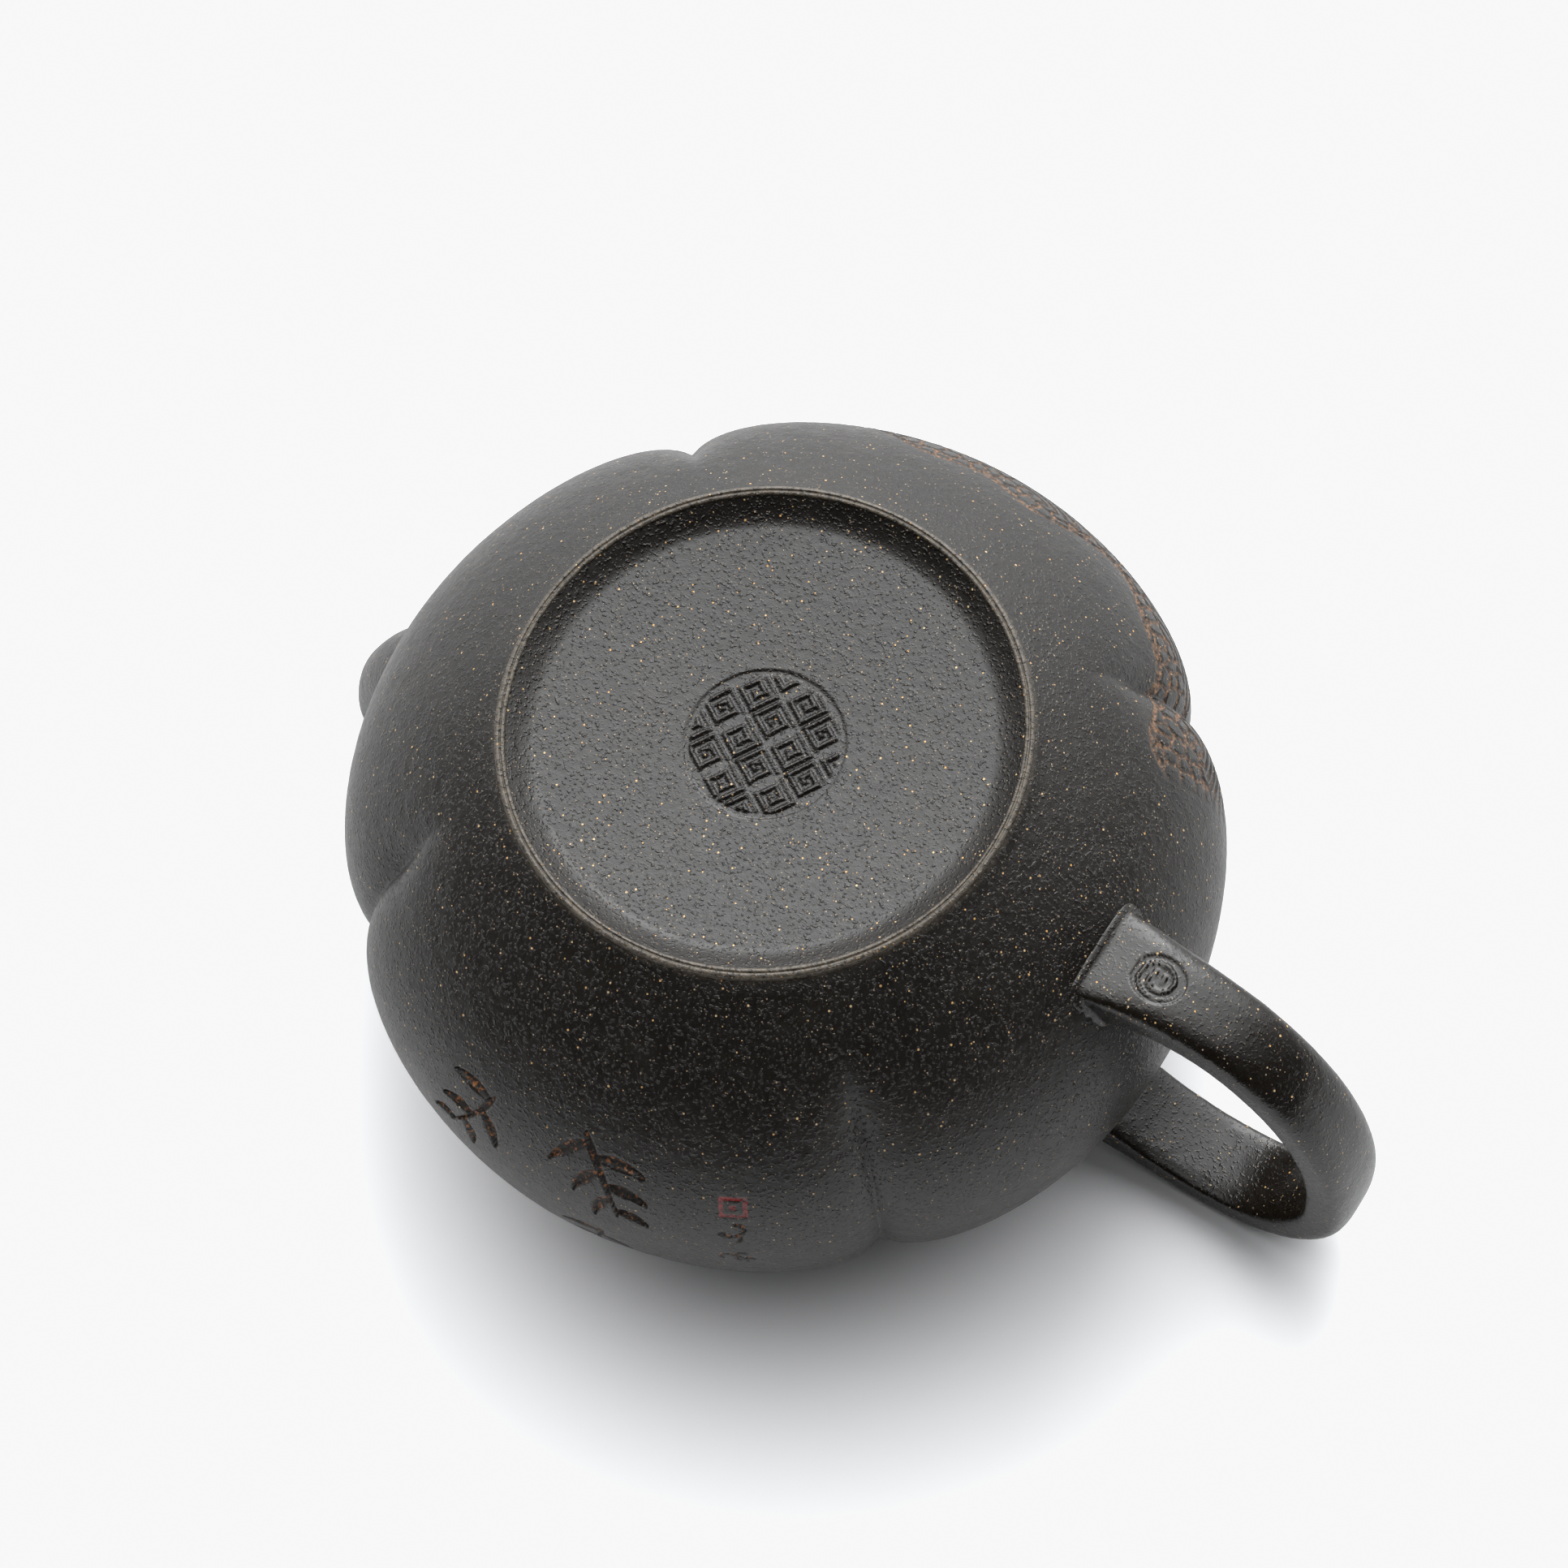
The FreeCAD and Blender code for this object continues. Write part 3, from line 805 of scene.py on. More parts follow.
@dataclass(frozen=True)
class BasePanel:
    """Round base slab: a flat panel in a hollow slope, with a stamped round of square spirals."""

    rim_r: float = 28.9
    rim_z: float = 0.3
    flat_r: float = 25.6
    panel_z: float = 2.3
    dish: float = 1.0
    top_z: float = 5.38
    stamp_r: float = 9.25
    stamp_x: float = -0.4
    stamp_y: float = -0.8
    stamp_turn: float = 31.0
    sunk: float = 0.2
    raised: float = 0.34
    lines: Fret = Fret()
    slope_power: float = 0.8
    disc_edge: float = 0.22
    border: tuple = (0.95, 0.75)
    pressed_edge: float = 0.1
    pressed_smooth: float = 0.6
    rim_fade: float = 1.0
    specks: float = 0.45
    pressed_specks: float = 0.5
    inner_r: float = 14.0
    cells: int = 290

    def profile(self, r: Array) -> Array:
        """Height of the underside: a shallow dish, then a quarter wave down to the rim."""
        share = np.clip((r - self.flat_r) / (self.rim_r - self.flat_r), 0.0, 1.0)
        dish = self.dish * (1.0 - np.minimum(r / self.flat_r, 1.0) ** 2)
        fall = (1.0 - np.cos(0.5 * math.pi * share)) ** self.slope_power
        return self.panel_z + dish - (self.panel_z - self.rim_z) * fall

    def stamp(self, x: Array, y: Array) -> Array:
        """How far the stamp lifts (over 0) or sinks (under 0) the clay towards the viewer below."""
        a = math.radians(self.stamp_turn)
        dx, dy = x - self.stamp_x, y - self.stamp_y
        u, v = dx * math.cos(a) + dy * math.sin(a), dy * math.cos(a) - dx * math.sin(a)
        away = np.hypot(dx, dy)
        disc = 1.0 - smooth(self.stamp_r - self.disc_edge, self.stamp_r, away)
        inside = 1.0 - smooth(self.stamp_r - self.border[0], self.stamp_r - self.border[1], away)
        return self.raised * self.lines.cover(u, v) * inside - self.sunk * disc

    def build(self, clay: bpy.types.Material) -> bpy.types.Object:
        """Make the slab.

        Args:
            clay: Its finish.

        Returns:
            The piece. Its underside is a square grid drawn into a circle, x = u sqrt(1 - v v / 2) and
            y = v sqrt(1 - u u / 2), so that its faces are all about the same size.
        """
        n = self.cells + 1
        v, u = np.meshgrid(np.linspace(-1.0, 1.0, n), np.linspace(-1.0, 1.0, n), indexing="ij")
        x = self.rim_r * u * np.sqrt(1.0 - 0.5 * v * v)
        y = self.rim_r * v * np.sqrt(1.0 - 0.5 * u * u)
        r = np.hypot(x, y)
        form = np.stack([x, y, self.profile(r)], axis=-1)
        stamp = self.stamp(x, y)
        away = np.hypot(x - self.stamp_x, y - self.stamp_y)
        pressed = 1.0 - smooth(self.stamp_r - self.pressed_edge, self.stamp_r + self.pressed_edge, away)
        edge = 1.0 - smooth(self.rim_r - self.rim_fade, self.rim_r, r)
        grain = HANDS.at(form) * (1.0 - self.pressed_smooth * pressed)
        points = form.copy()
        points[..., 2] -= grain * edge + stamp
        normals = grid_normals(points, flip=True)
        piece = Piece("base_panel")
        speckle = self.specks * (1.0 - self.pressed_specks * pressed)
        first = piece.add_points(points, normals, speckle=speckle)
        piece.faces.append(grid_faces(n, n, first, flip=True).tolist())
        index = first + np.arange(n * n).reshape(n, n)
        ring = np.concatenate([index[0, :-1], index[:-1, -1], index[-1, :0:-1], index[:0:-1, 0]])
        around = points.reshape(-1, 3)[ring - first]
        self.close(piece, ring, around)
        made = piece.build(Carrier.POT, Slot.BASE, "base_disc")
        made.data.materials.append(clay)
        return made

    def close(self, piece: Piece, ring: Array, around: Array) -> None:
        """Close the slab with its side and its flat top, in rings that end at one middle point."""
        count = len(ring)
        radii = np.array([self.rim_r, self.inner_r])
        unit = around[:, :2] / np.linalg.norm(around[:, :2], axis=1, keepdims=True)
        flat = np.stack([np.column_stack([unit * r, np.full(count, self.top_z)]) for r in radii])
        up = np.broadcast_to(np.array([0.0, 0.0, 1.0]), flat.shape)
        top = piece.add_points(flat, up)
        middle = piece.add_points(np.array([[0.0, 0.0, self.top_z]]), up[0, :1])
        following = np.roll(np.arange(count), -1)
        side = np.column_stack([ring, ring[following], top + following, top + np.arange(count)])
        piece.faces.append(side.tolist())
        piece.faces.append(grid_faces(2, count, top, round_columns=True).tolist())
        fan = np.column_stack([top + count + np.arange(count), top + count + following,
                               np.full(count, middle)])
        piece.faces.append(fan.tolist())


@dataclass(frozen=True)
class Turning:
    """A piece turned round the axis from a closed section, with grooves like the body's."""

    name: str
    section: tuple
    carrier: Carrier
    slot: Slot
    replaced: str
    columns: int = 360
    rows: int = 120
    roughness: float = 1.0
    speckle: float = 0.0
    # How much of the paler colour the piece takes: wear and painted sheen.
    worn: float = 0.0

    def build(self, clay: bpy.types.Material) -> bpy.types.Object:
        """Make the piece: each row of the section is a circle, in at the grooves by its own depth."""
        line = evenly(np.asarray(self.section, float), self.rows + 1)[:-1]
        turn = np.linspace(0.0, 360.0, self.columns, endpoint=False)[None, :]
        r, z, groove = line[:, 0:1], line[:, 1:2], line[:, 2:3]
        form = FORM.place(turn, r, z, groove)
        out = grid_normals(form, True, True)
        points = form + out * (HANDS.at(form) * self.roughness)[..., None]
        normals = grid_normals(points, True, True)
        piece = Piece(self.name)
        first = piece.add_points(points, normals, speckle=np.float32(self.speckle),
                                 worn=np.float32(self.worn))
        piece.faces.append(grid_faces(self.rows, self.columns, first, True, True).tolist())
        made = piece.build(self.carrier, self.slot, self.replaced)
        made.data.materials.append(clay)
        return made


@dataclass(frozen=True)
class FootBead:
    """The narrow standing bead: two fine ridges with a line pressed between them."""

    outer_r: float = 30.0
    inner_r: float = 28.85
    top_z: float = 0.92
    shoulder_z: float = 0.34
    arch: float = 0.35
    line_depth: float = 0.2
    line_middle: float = 0.46
    line_width: float = 0.11
    points: int = 41

    def section(self) -> tuple:
        """Closed section from the inner top corner, over the two ridges, to the outer top corner."""
        share = np.linspace(0.0, 1.0, self.points)
        r = self.inner_r + (self.outer_r - self.inner_r) * share
        arch = np.maximum(np.sin(math.pi * share), 0.0) ** self.arch
        pressed = np.exp(-((share - self.line_middle) / self.line_width) ** 2)
        z = self.shoulder_z * (1.0 - arch) + self.line_depth * pressed
        under = list(zip(r, z, np.zeros(self.points)))
        return tuple([(self.inner_r, self.top_z, 0.0)] + under
                     + [(self.outer_r, self.top_z, 0.0), (self.inner_r, self.top_z, 0.0)])

    def build(self, clay: bpy.types.Material) -> bpy.types.Object:
        """Make the bead."""
        # The whole bead takes the paler colour: wear and a painted sheen line.
        bead = Turning("foot_bead", self.section(), Carrier.POT, Slot.BASE, "foot_ring",
                       columns=900, rows=56, roughness=0.9, speckle=1.0, worn=1.0)
        return bead.build(clay)


# ---------------------------------------------------------------- handle and spout


def settle(points: Array, centres: Array, fillet: float, sunk: float) -> Array:
    """Blend a root into the wall.

    Args:
        points: A grid whose rows are sections.
        centres: The middle of each section, broadcast to the grid.
        fillet: Radius of the smear of clay round the root.
        sunk: Depth under the surface where the root ends.

    Returns:
        The grid with each point moved away from its section's middle by a quarter-circle fillet,
        fillet - sqrt(fillet^2 - (fillet - d)^2) at a distance d over the wall, and with every point
        that is deeper than sunk lifted to that depth.
    """
    away, _, _ = FORM.clearance(points)
    short = np.clip(fillet - np.maximum(away, 0.0), 0.0, fillet)
    push = fillet - np.sqrt(np.maximum(fillet ** 2 - short ** 2, 0.0))
    out = points - centres
    out /= np.linalg.norm(out, axis=-1, keepdims=True) + TINY
    points = points + out * push[..., None]
    away, surface, tilt = FORM.clearance(points)
    deep = away < -sunk
    radius = np.hypot(points[..., 0], points[..., 1])
    scale = np.where(deep, (surface - sunk / tilt) / radius, 1.0)
    points[..., 0] *= scale
    points[..., 1] *= scale
    return points


@dataclass(frozen=True)
class Handle:
    """Ear-shaped band with a crowned outer face, flat flanks and a stamp near its lower root."""

    path: tuple = ((-38.1, 12.8, 12.6, 7.2), (-44.0, 11.4, 12.0, 6.4), (-49.9, 10.7, 10.6, 5.4),
                   (-55.8, 11.2, 9.8, 4.9), (-62.1, 13.3, 9.6, 4.6), (-68.2, 17.7, 9.6, 4.6),
                   (-73.3, 24.0, 9.6, 4.8), (-76.9, 32.0, 9.7, 5.2), (-78.5, 40.9, 9.8, 5.5),
                   (-77.7, 49.5, 10.0, 5.3), (-73.4, 56.6, 10.2, 4.8), (-67.2, 60.5, 10.4, 4.6),
                   (-59.7, 61.5, 10.5, 4.6), (-52.3, 60.7, 10.7, 5.0), (-45.0, 58.6, 11.2, 5.8),
                   (-37.6, 55.6, 12.0, 6.6))
    outer_power: float = 2.9
    inner_power: float = 6.5
    stamp_x: float = -50.6
    stamp_long: float = 3.05
    stamp_wide: float = 2.7
    fillet: float = 0.9
    sunk: float = 1.2
    root_power: float = 6.0
    root_fade: tuple = (3.0, 16.0)
    ring: tuple = (0.96, 0.03, 0.12)
    ring_depth: float = 0.16
    field_edge: tuple = (0.84, 0.95)
    field_depth: float = 0.17
    curl_turns: float = 2.6
    curl_line: tuple = (0.12, 0.24)
    curl_height: float = 0.2
    roughness: float = 1.3
    stamped_smooth: float = 0.7
    specks: tuple = (0.9, 4.0, 32.0)
    rubbed: tuple = (2.0, 8.0)
    dense: int = 900
    lower_half: int = 200
    stamp_reach: float = 5.5
    around: int = 150
    before: int = 24
    fine: int = 90
    coarse: int = 250

    def stamp_place(self, line: Array) -> float:
        """Distance of the stamp's middle along the outer face."""
        near = line[:self.lower_half]
        return float(np.interp(-self.stamp_x, -near[:, 0], lengths_along(near[:, :2])))

    def stations(self, line: Array) -> Array:
        """Distances of the sections along the outer face, closer together at the stamp."""
        length = lengths_along(line[:, :2])[-1]
        middle = self.stamp_place(line)
        near = np.linspace(middle - self.stamp_reach, middle + self.stamp_reach, self.fine)
        before = np.linspace(0.0, near[0], self.before, endpoint=False)
        after = np.linspace(near[-1], length, self.coarse - self.before + 1)[1:]
        return np.concatenate([before, near, after])

    def section(self, places: Array, length: float) -> tuple[Array, Array]:
        """Unit sections: across from -1 to 1 and out from -1 to 1, one row to a section.

        Args:
            places: Distance of each section along the handle.
            length: Length of the handle.

        Returns:
            Rounded rectangles |across|^p + |out|^p = 1, where p is smaller on the outer half, and
            larger at both roots, which are squarer.
        """
        angle = np.linspace(0.0, 2.0 * math.pi, self.around, endpoint=False)[None, :]
        c, s = np.cos(angle), np.sin(angle)
        root = 1.0 - smooth(*self.root_fade, np.minimum(places, length - places))[:, None]
        outer = self.outer_power + (self.root_power - self.outer_power) * root
        power = np.where(s >= 0.0, outer, self.inner_power)
        return np.sign(c) * np.abs(c) ** (2.0 / power), np.sign(s) * np.abs(s) ** (2.0 / power)

    def stamp(self, along: Array, across: Array) -> Array:
        """Depth of the oval stamp: a pressed oval line round a low field with a raised curl."""
        q = np.hypot(along / self.stamp_long, across / self.stamp_wide)
        middle, low, high = self.ring
        ring = 1.0 - smooth(low, high, np.abs(q - middle))
        field_in = 1.0 - smooth(*self.field_edge, q)
        angle = np.arctan2(across, along)
        curl = np.abs(((q * self.curl_turns - angle / (2.0 * math.pi)) % 1.0) - 0.5)
        raised = (1.0 - smooth(*self.curl_line, curl)) * field_in
        return self.ring_depth * ring + self.field_depth * field_in - self.curl_height * raised

    def build(self, clay: bpy.types.Material) -> bpy.types.Object:
        """Make the handle: the section carried along its path, its outer face on the path's line."""
        line = through(np.asarray(self.path), self.dense)
        places = self.stations(line)
        rows = resample(line, places)
        tangent = np.gradient(rows[:, :2], places, axis=0)
        tangent /= np.linalg.norm(tangent, axis=1, keepdims=True)
        out = np.column_stack([-tangent[:, 1], tangent[:, 0]])
        across_unit, out_unit = self.section(places, places[-1])
        half_w, half_t = 0.5 * rows[:, 2:3], 0.5 * rows[:, 3:4]
        across = half_w * across_unit
        lift = half_t * (out_unit - 1.0)
        x = rows[:, 0:1] + out[:, 0:1] * lift
        z = rows[:, 1:2] + out[:, 1:2] * lift
        form = np.stack([x, across, z], axis=-1)
        core = rows[:, :2] - out * half_t
        centres = np.stack(np.broadcast_arrays(core[:, 0:1], 0.0 * across, core[:, 1:2]), axis=-1)
        form = settle(form, centres, self.fillet, self.sunk)
        normals = grid_normals(form, round_columns=True)
        from_stamp = places[:, None] - self.stamp_place(line)
        face = smooth(0.0, 0.5, out_unit)
        depth = self.stamp(np.broadcast_to(from_stamp, across.shape), across) * face
        away, _, _ = FORM.clearance(form)
        free = smooth(0.0, 1.0, away)
        stamped = depth > STAMPED
        height = HANDS.at(form) * (self.roughness - self.stamped_smooth * stamped) * free - depth
        points = form + normals * height[..., None]
        piece = Piece("handle_band")
        share, low, high = self.specks
        speckle = share * (1.0 - smooth(low, high, places))[:, None]
        rubbed = smooth(*self.rubbed, places)[:, None]
        first = piece.add_points(points, grid_normals(points, round_columns=True), speckle=speckle,
                                 rubbed=rubbed)
        count = len(rows)
        piece.faces.append(grid_faces(count, self.around, first, round_columns=True).tolist())
        ends = [list(range(first, first + self.around))[::-1],
                list(range(first + (count - 1) * self.around, first + count * self.around))]
        piece.faces.append(ends)
        made = piece.build(Carrier.POT, Slot.HANDLE, "handle")
        made.data.materials.append(clay)
        return made


@dataclass(frozen=True)
class Spout:
    """Short spout with a smeared root, a rounded lip and an open channel."""

    path: tuple = ((43.4, 40.0, 9.4), (49.6, 43.0, 8.4), (54.6, 47.0, 7.2), (58.4, 52.0, 6.3),
                   (60.2, 56.4, 6.0), (60.7, 58.45, 5.9))
    wall: float = 2.3
    fillet: float = 2.2
    sunk: float = 1.2
    levelling: float = 7.0
    specks: float = 0.2
    dense: int = 400
    around: int = 200
    along: int = 130
    lip: int = 16

    def build(self, clay: bpy.types.Material) -> bpy.types.Object:
        """Make the spout.

        Args:
            clay: Its finish.

        Returns:
            The piece: circles square to the path, out to the lip, over it in a half circle and back
            down the channel, whose end joins the root inside the wall.
        """
        line = evenly(through(np.asarray(self.path), self.dense), self.along)
        places = lengths_along(line[:, :2])
        tangent = np.gradient(line[:, :2], places, axis=0)
        level = smooth(places[-1] - self.levelling, places[-1], places)[:, None]
        tangent = tangent * (1.0 - level) + level * np.array([0.0, 1.0])
        tangent /= np.linalg.norm(tangent, axis=1, keepdims=True)
        bend = np.linspace(0.0, math.pi, self.lip)[1:-1]
        round_r = 0.5 * self.wall
        tip_r = line[-1, 2] - round_r + round_r * np.cos(bend)
        tip_up = round_r * np.sin(bend)
        radii = np.concatenate([line[:, 2], tip_r, line[::-1, 2] - self.wall])
        tip = line[-1, :2] + tangent[-1] * tip_up[:, None]
        centre = np.concatenate([line[:, :2], tip, line[::-1, :2]])
        facing = np.concatenate([tangent, np.repeat(tangent[-1:], len(bend), axis=0), tangent[::-1]])
        turn = np.linspace(0.0, 2.0 * math.pi, self.around, endpoint=False)[None, :]
        side = radii[:, None] * np.cos(turn)
        rise = radii[:, None] * np.sin(turn)
        form_x = centre[:, 0:1] - facing[:, 1:2] * rise
        form_z = centre[:, 1:2] + facing[:, 0:1] * rise
        form = np.stack([form_x, side, form_z], axis=-1)
        middles = np.stack(np.broadcast_arrays(centre[:, 0:1], 0.0 * side, centre[:, 1:2]), axis=-1)
        outside = self.along
        form[:outside] = settle(form[:outside], middles[:outside], self.fillet, self.sunk)
        form[outside:] = settle(form[outside:], middles[outside:], TINY, self.sunk)
        normals = grid_normals(form, True, True)
        away, _, _ = FORM.clearance(form)
        points = form + normals * (HANDS.at(form) * smooth(0.0, 1.0, away))[..., None]
        piece = Piece("spout_tube")
        first = piece.add_points(points, grid_normals(points, True, True),
                                 speckle=np.float32(self.specks))
        piece.faces.append(grid_faces(len(radii), self.around, first, True, True).tolist())
        made = piece.build(Carrier.POT, Slot.SPOUT, "spout")
        made.data.materials.append(clay)
        return made


# ---------------------------------------------------------------- the lid


@dataclass(frozen=True)
class Lid:
    """Low lobed cap with a bud knob, and a steam hole through both."""

    rim_z: float = 60.15
    edge_r: float = 32.6
    edge: float = 1.7
    top_z: float = 68.2
    thick: float = 2.6
    groove: float = 1.9
    hole_r: float = 1.1
    dome_bends: tuple = ((17.0, 68.2), (28.6, 66.0))
    edge_out: float = 0.1
    edge_in: float = 0.6
    edge_middle: float = 0.5
    hollow: tuple = ((23.4, 60.15), (23.0, 61.35), (10.0, 65.6))
    knob_h: float = 9.6
    knob_sunk: float = 0.3
    knob_groove: float = 0.8
    knob_shape: tuple = ((4.9, 0.0, 0.0), (4.15, 0.07, 0.0), (4.05, 0.17, 0.05), (5.3, 0.34, 0.35),
                         (7.0, 0.52, 0.8), (7.55, 0.68, 1.0), (6.9, 0.82, 0.95), (5.2, 0.93, 0.7),
                         (3.0, 0.985, 0.3), (1.35, 0.99, 0.05), (1.1, 0.96, 0.0))
    cap_points: int = 40
    knob_points: int = 160

    def cap_section(self) -> tuple:
        """Closed section of the cap as (radius, height, groove depth) rows, from the hole outwards."""
        edge = (self.edge_r, self.rim_z + self.edge)
        t = np.linspace(0.0, 1.0, self.cap_points)
        top = bezier(((self.hole_r, self.top_z), *self.dome_bends, edge), t)
        side = bezier((edge, (self.edge_r + self.edge_out, self.rim_z + self.edge_middle),
                       (self.edge_r - self.edge_in, self.rim_z)), t[::4])
        under = bezier((*self.hollow, (self.hole_r, self.top_z - self.thick)), t)
        rows = np.concatenate([top, side, under, top[:1]])
        outside = np.arange(len(rows)) < len(top) + len(side)
        depth = np.where(outside, self.groove * (rows[:, 0] / self.edge_r) ** 2, 0.0)
        depth[-1] = depth[0]
        return tuple(map(tuple, np.column_stack([rows, depth])[::-1]))

    def knob_section(self) -> tuple:
        """Closed section of the bud as (radius, height, groove depth) rows, from the hole outwards."""
        z0 = self.top_z - self.knob_sunk
        rows = [(r, z0 + self.knob_h * share, self.knob_groove * cut) for r, share, cut in self.knob_shape]
        rows = through(np.array(rows), self.knob_points)
        foot = np.array([(self.hole_r, z0, 0.0)])
        return tuple(map(tuple, np.concatenate([foot, rows, foot])))

    def build(self, clay: bpy.types.Material) -> None:
        """Make the cap and the knob."""
        cap = Turning("lid_dome", self.cap_section(), Carrier.LID, Slot.LID, "lid_cap",
                      columns=420, rows=170)
        bud = Turning("lid_bud", self.knob_section(), Carrier.LID, Slot.KNOB, "knob",
                      columns=240, rows=150, roughness=0.8)
        cap.build(clay)
        bud.build(clay)


# ---------------------------------------------------------------- finishes


class Wire:
    """A shader socket that can be used in arithmetic; each operation adds its Math node."""

    def __init__(self, tree: "Recipe", socket: bpy.types.NodeSocket) -> None:
        """Keep the recipe and the output socket."""
        self.tree = tree
        self.socket = socket

    def math(self, operation: str, *others: object) -> "Wire":
        """Combine this value with others."""
        return self.tree.node("ShaderNodeMath", {"operation": operation}, [self, *others])

    def __add__(self, other: object) -> "Wire":
        """Sum."""
        return self.math("ADD", other)

    __radd__ = __add__

    def __mul__(self, other: object) -> "Wire":
        """Product."""
        return self.math("MULTIPLY", other)

    __rmul__ = __mul__

    def __sub__(self, other: object) -> "Wire":
        """Difference."""
        return self.math("SUBTRACT", other)

    def __rsub__(self, other: object) -> "Wire":
        """Difference from a number."""
        return self.tree.node("ShaderNodeMath", {"operation": "SUBTRACT"}, [other, self])

    def __lt__(self, other: object) -> "Wire":
        """1 where this value is the smaller."""
        return self.math("LESS_THAN", other)

    def step(self, low: float, high: float) -> "Wire":
        """0 below low and 1 above high, smooth between them."""
        return self.tree.node("ShaderNodeMapRange", {"interpolation_type": "SMOOTHSTEP"},
                              [self, low, high, 0.0, 1.0])


@dataclass
class Recipe:
    """A node tree that is filled in node by node."""

    tree: bpy.types.NodeTree

    def node(self, kind: str, settings: dict, values: list | dict = (), output: str | int = 0) -> Wire:
        """Add a node.

        Args:
            kind: The node's type.
            settings: Its options, set before its sockets.
            values: What its sockets take, in order or by name: a number, a colour or a Wire.
            output: The socket that the result is read from.

        Returns:
            That output.
        """
        made = self.tree.nodes.new(kind)
        for name, value in settings.items():
            setattr(made, name, value)
        pairs = values.items() if isinstance(values, dict) else enumerate(values)
        for key, value in pairs:
            if isinstance(value, Wire):
                self.tree.links.new(value.socket, made.inputs[key])
            else:
                made.inputs[key].default_value = value
        return Wire(self, made.outputs[output])

    def mix(self, share: object, a: object, b: object) -> Wire:
        """Mix two colours."""
        return self.node("ShaderNodeMix", {"data_type": "RGBA"}, {0: share, 6: a, 7: b}, 2)

    def mark(self, name: str) -> Wire:
        """A value stored on the mesh."""
        return self.node("ShaderNodeAttribute", {"attribute_name": name}, (), "Fac")

    def noise(self, place: Wire, size: float, detail: float = 2.0, roughness: float = 0.5) -> Wire:
        """Cloudy noise whose lumps are about size metres wide."""
        return self.node("ShaderNodeTexNoise", {}, {"Vector": place, "Scale": 1.0 / size,
                                                    "Detail": detail, "Roughness": roughness}, "Fac")

    def end(self, shader: Wire, kind: str = "ShaderNodeOutputMaterial") -> None:
        """Join a shader to the output for a surface or a world."""
        made = self.tree.nodes.new(kind)
        self.tree.links.new(shader.socket, made.inputs["Surface"])


@dataclass(frozen=True)
class Specks:
    """Mineral grains in the clay: one to a cell of scattered points, in millimetres."""

    cell: float
    radius: float
    share: float
    colour: tuple
    pale: tuple
    gather: float = 0.35
    least: float = 0.6
    spread: float = 0.8
    edge: float = 0.25

    def lay(self, recipe: Recipe, place: Wire, extra: Wire, under: object) -> tuple[Wire, Wire]:
        """Put the grains on a colour.

        Args:
            recipe: The material's nodes.
            place: Position in metres.
            extra: Value from 0 to 1 that makes the grains more frequent.
            under: The colour below them.

        Returns:
            The new colour and the mask of the grains.
        """
        settings = {"feature": "F1"}
        values = {"Vector": place, "Scale": 1.0 / (self.cell * MM)}
        away = recipe.node("ShaderNodeTexVoronoi", settings, values, "Distance")
        tint = Wire(recipe, away.socket.node.outputs["Color"])
        parts = recipe.node("ShaderNodeSeparateColor", {}, [tint], "Red")
        sizes = Wire(recipe, parts.socket.node.outputs["Green"])
        tone = Wire(recipe, parts.socket.node.outputs["Blue"])
        radius = self.radius / self.cell
        present = parts < extra * self.gather + self.share
        reach = sizes * (self.spread * radius) + self.least * radius
        mask = (reach - away).step(0.0, self.edge * radius) * present
        colour = recipe.mix(tone, (*self.colour, 1.0), (*self.pale, 1.0))
        return recipe.mix(mask, under, colour), mask


@dataclass(frozen=True)
class Filling:
    """What lies in a cut, a scratched line or a painted patch: two colours that mottle it."""

    mark: str
    cover: tuple
    mottle: tuple
    dark: tuple
    light: tuple

    def lay(self, recipe: Recipe, rust: Wire, under: Wire) -> Wire:
        """Put it on a colour.

        Args:
            recipe: The material's nodes.
            rust: The cloudy noise that mottles it.
            under: The colour outside the mark.

        Returns:
            The new colour.
        """
        colour = recipe.mix(rust.step(*self.mottle), (*self.dark, 1.0), (*self.light, 1.0))
        return recipe.mix(recipe.mark(self.mark).step(*self.cover), under, colour)


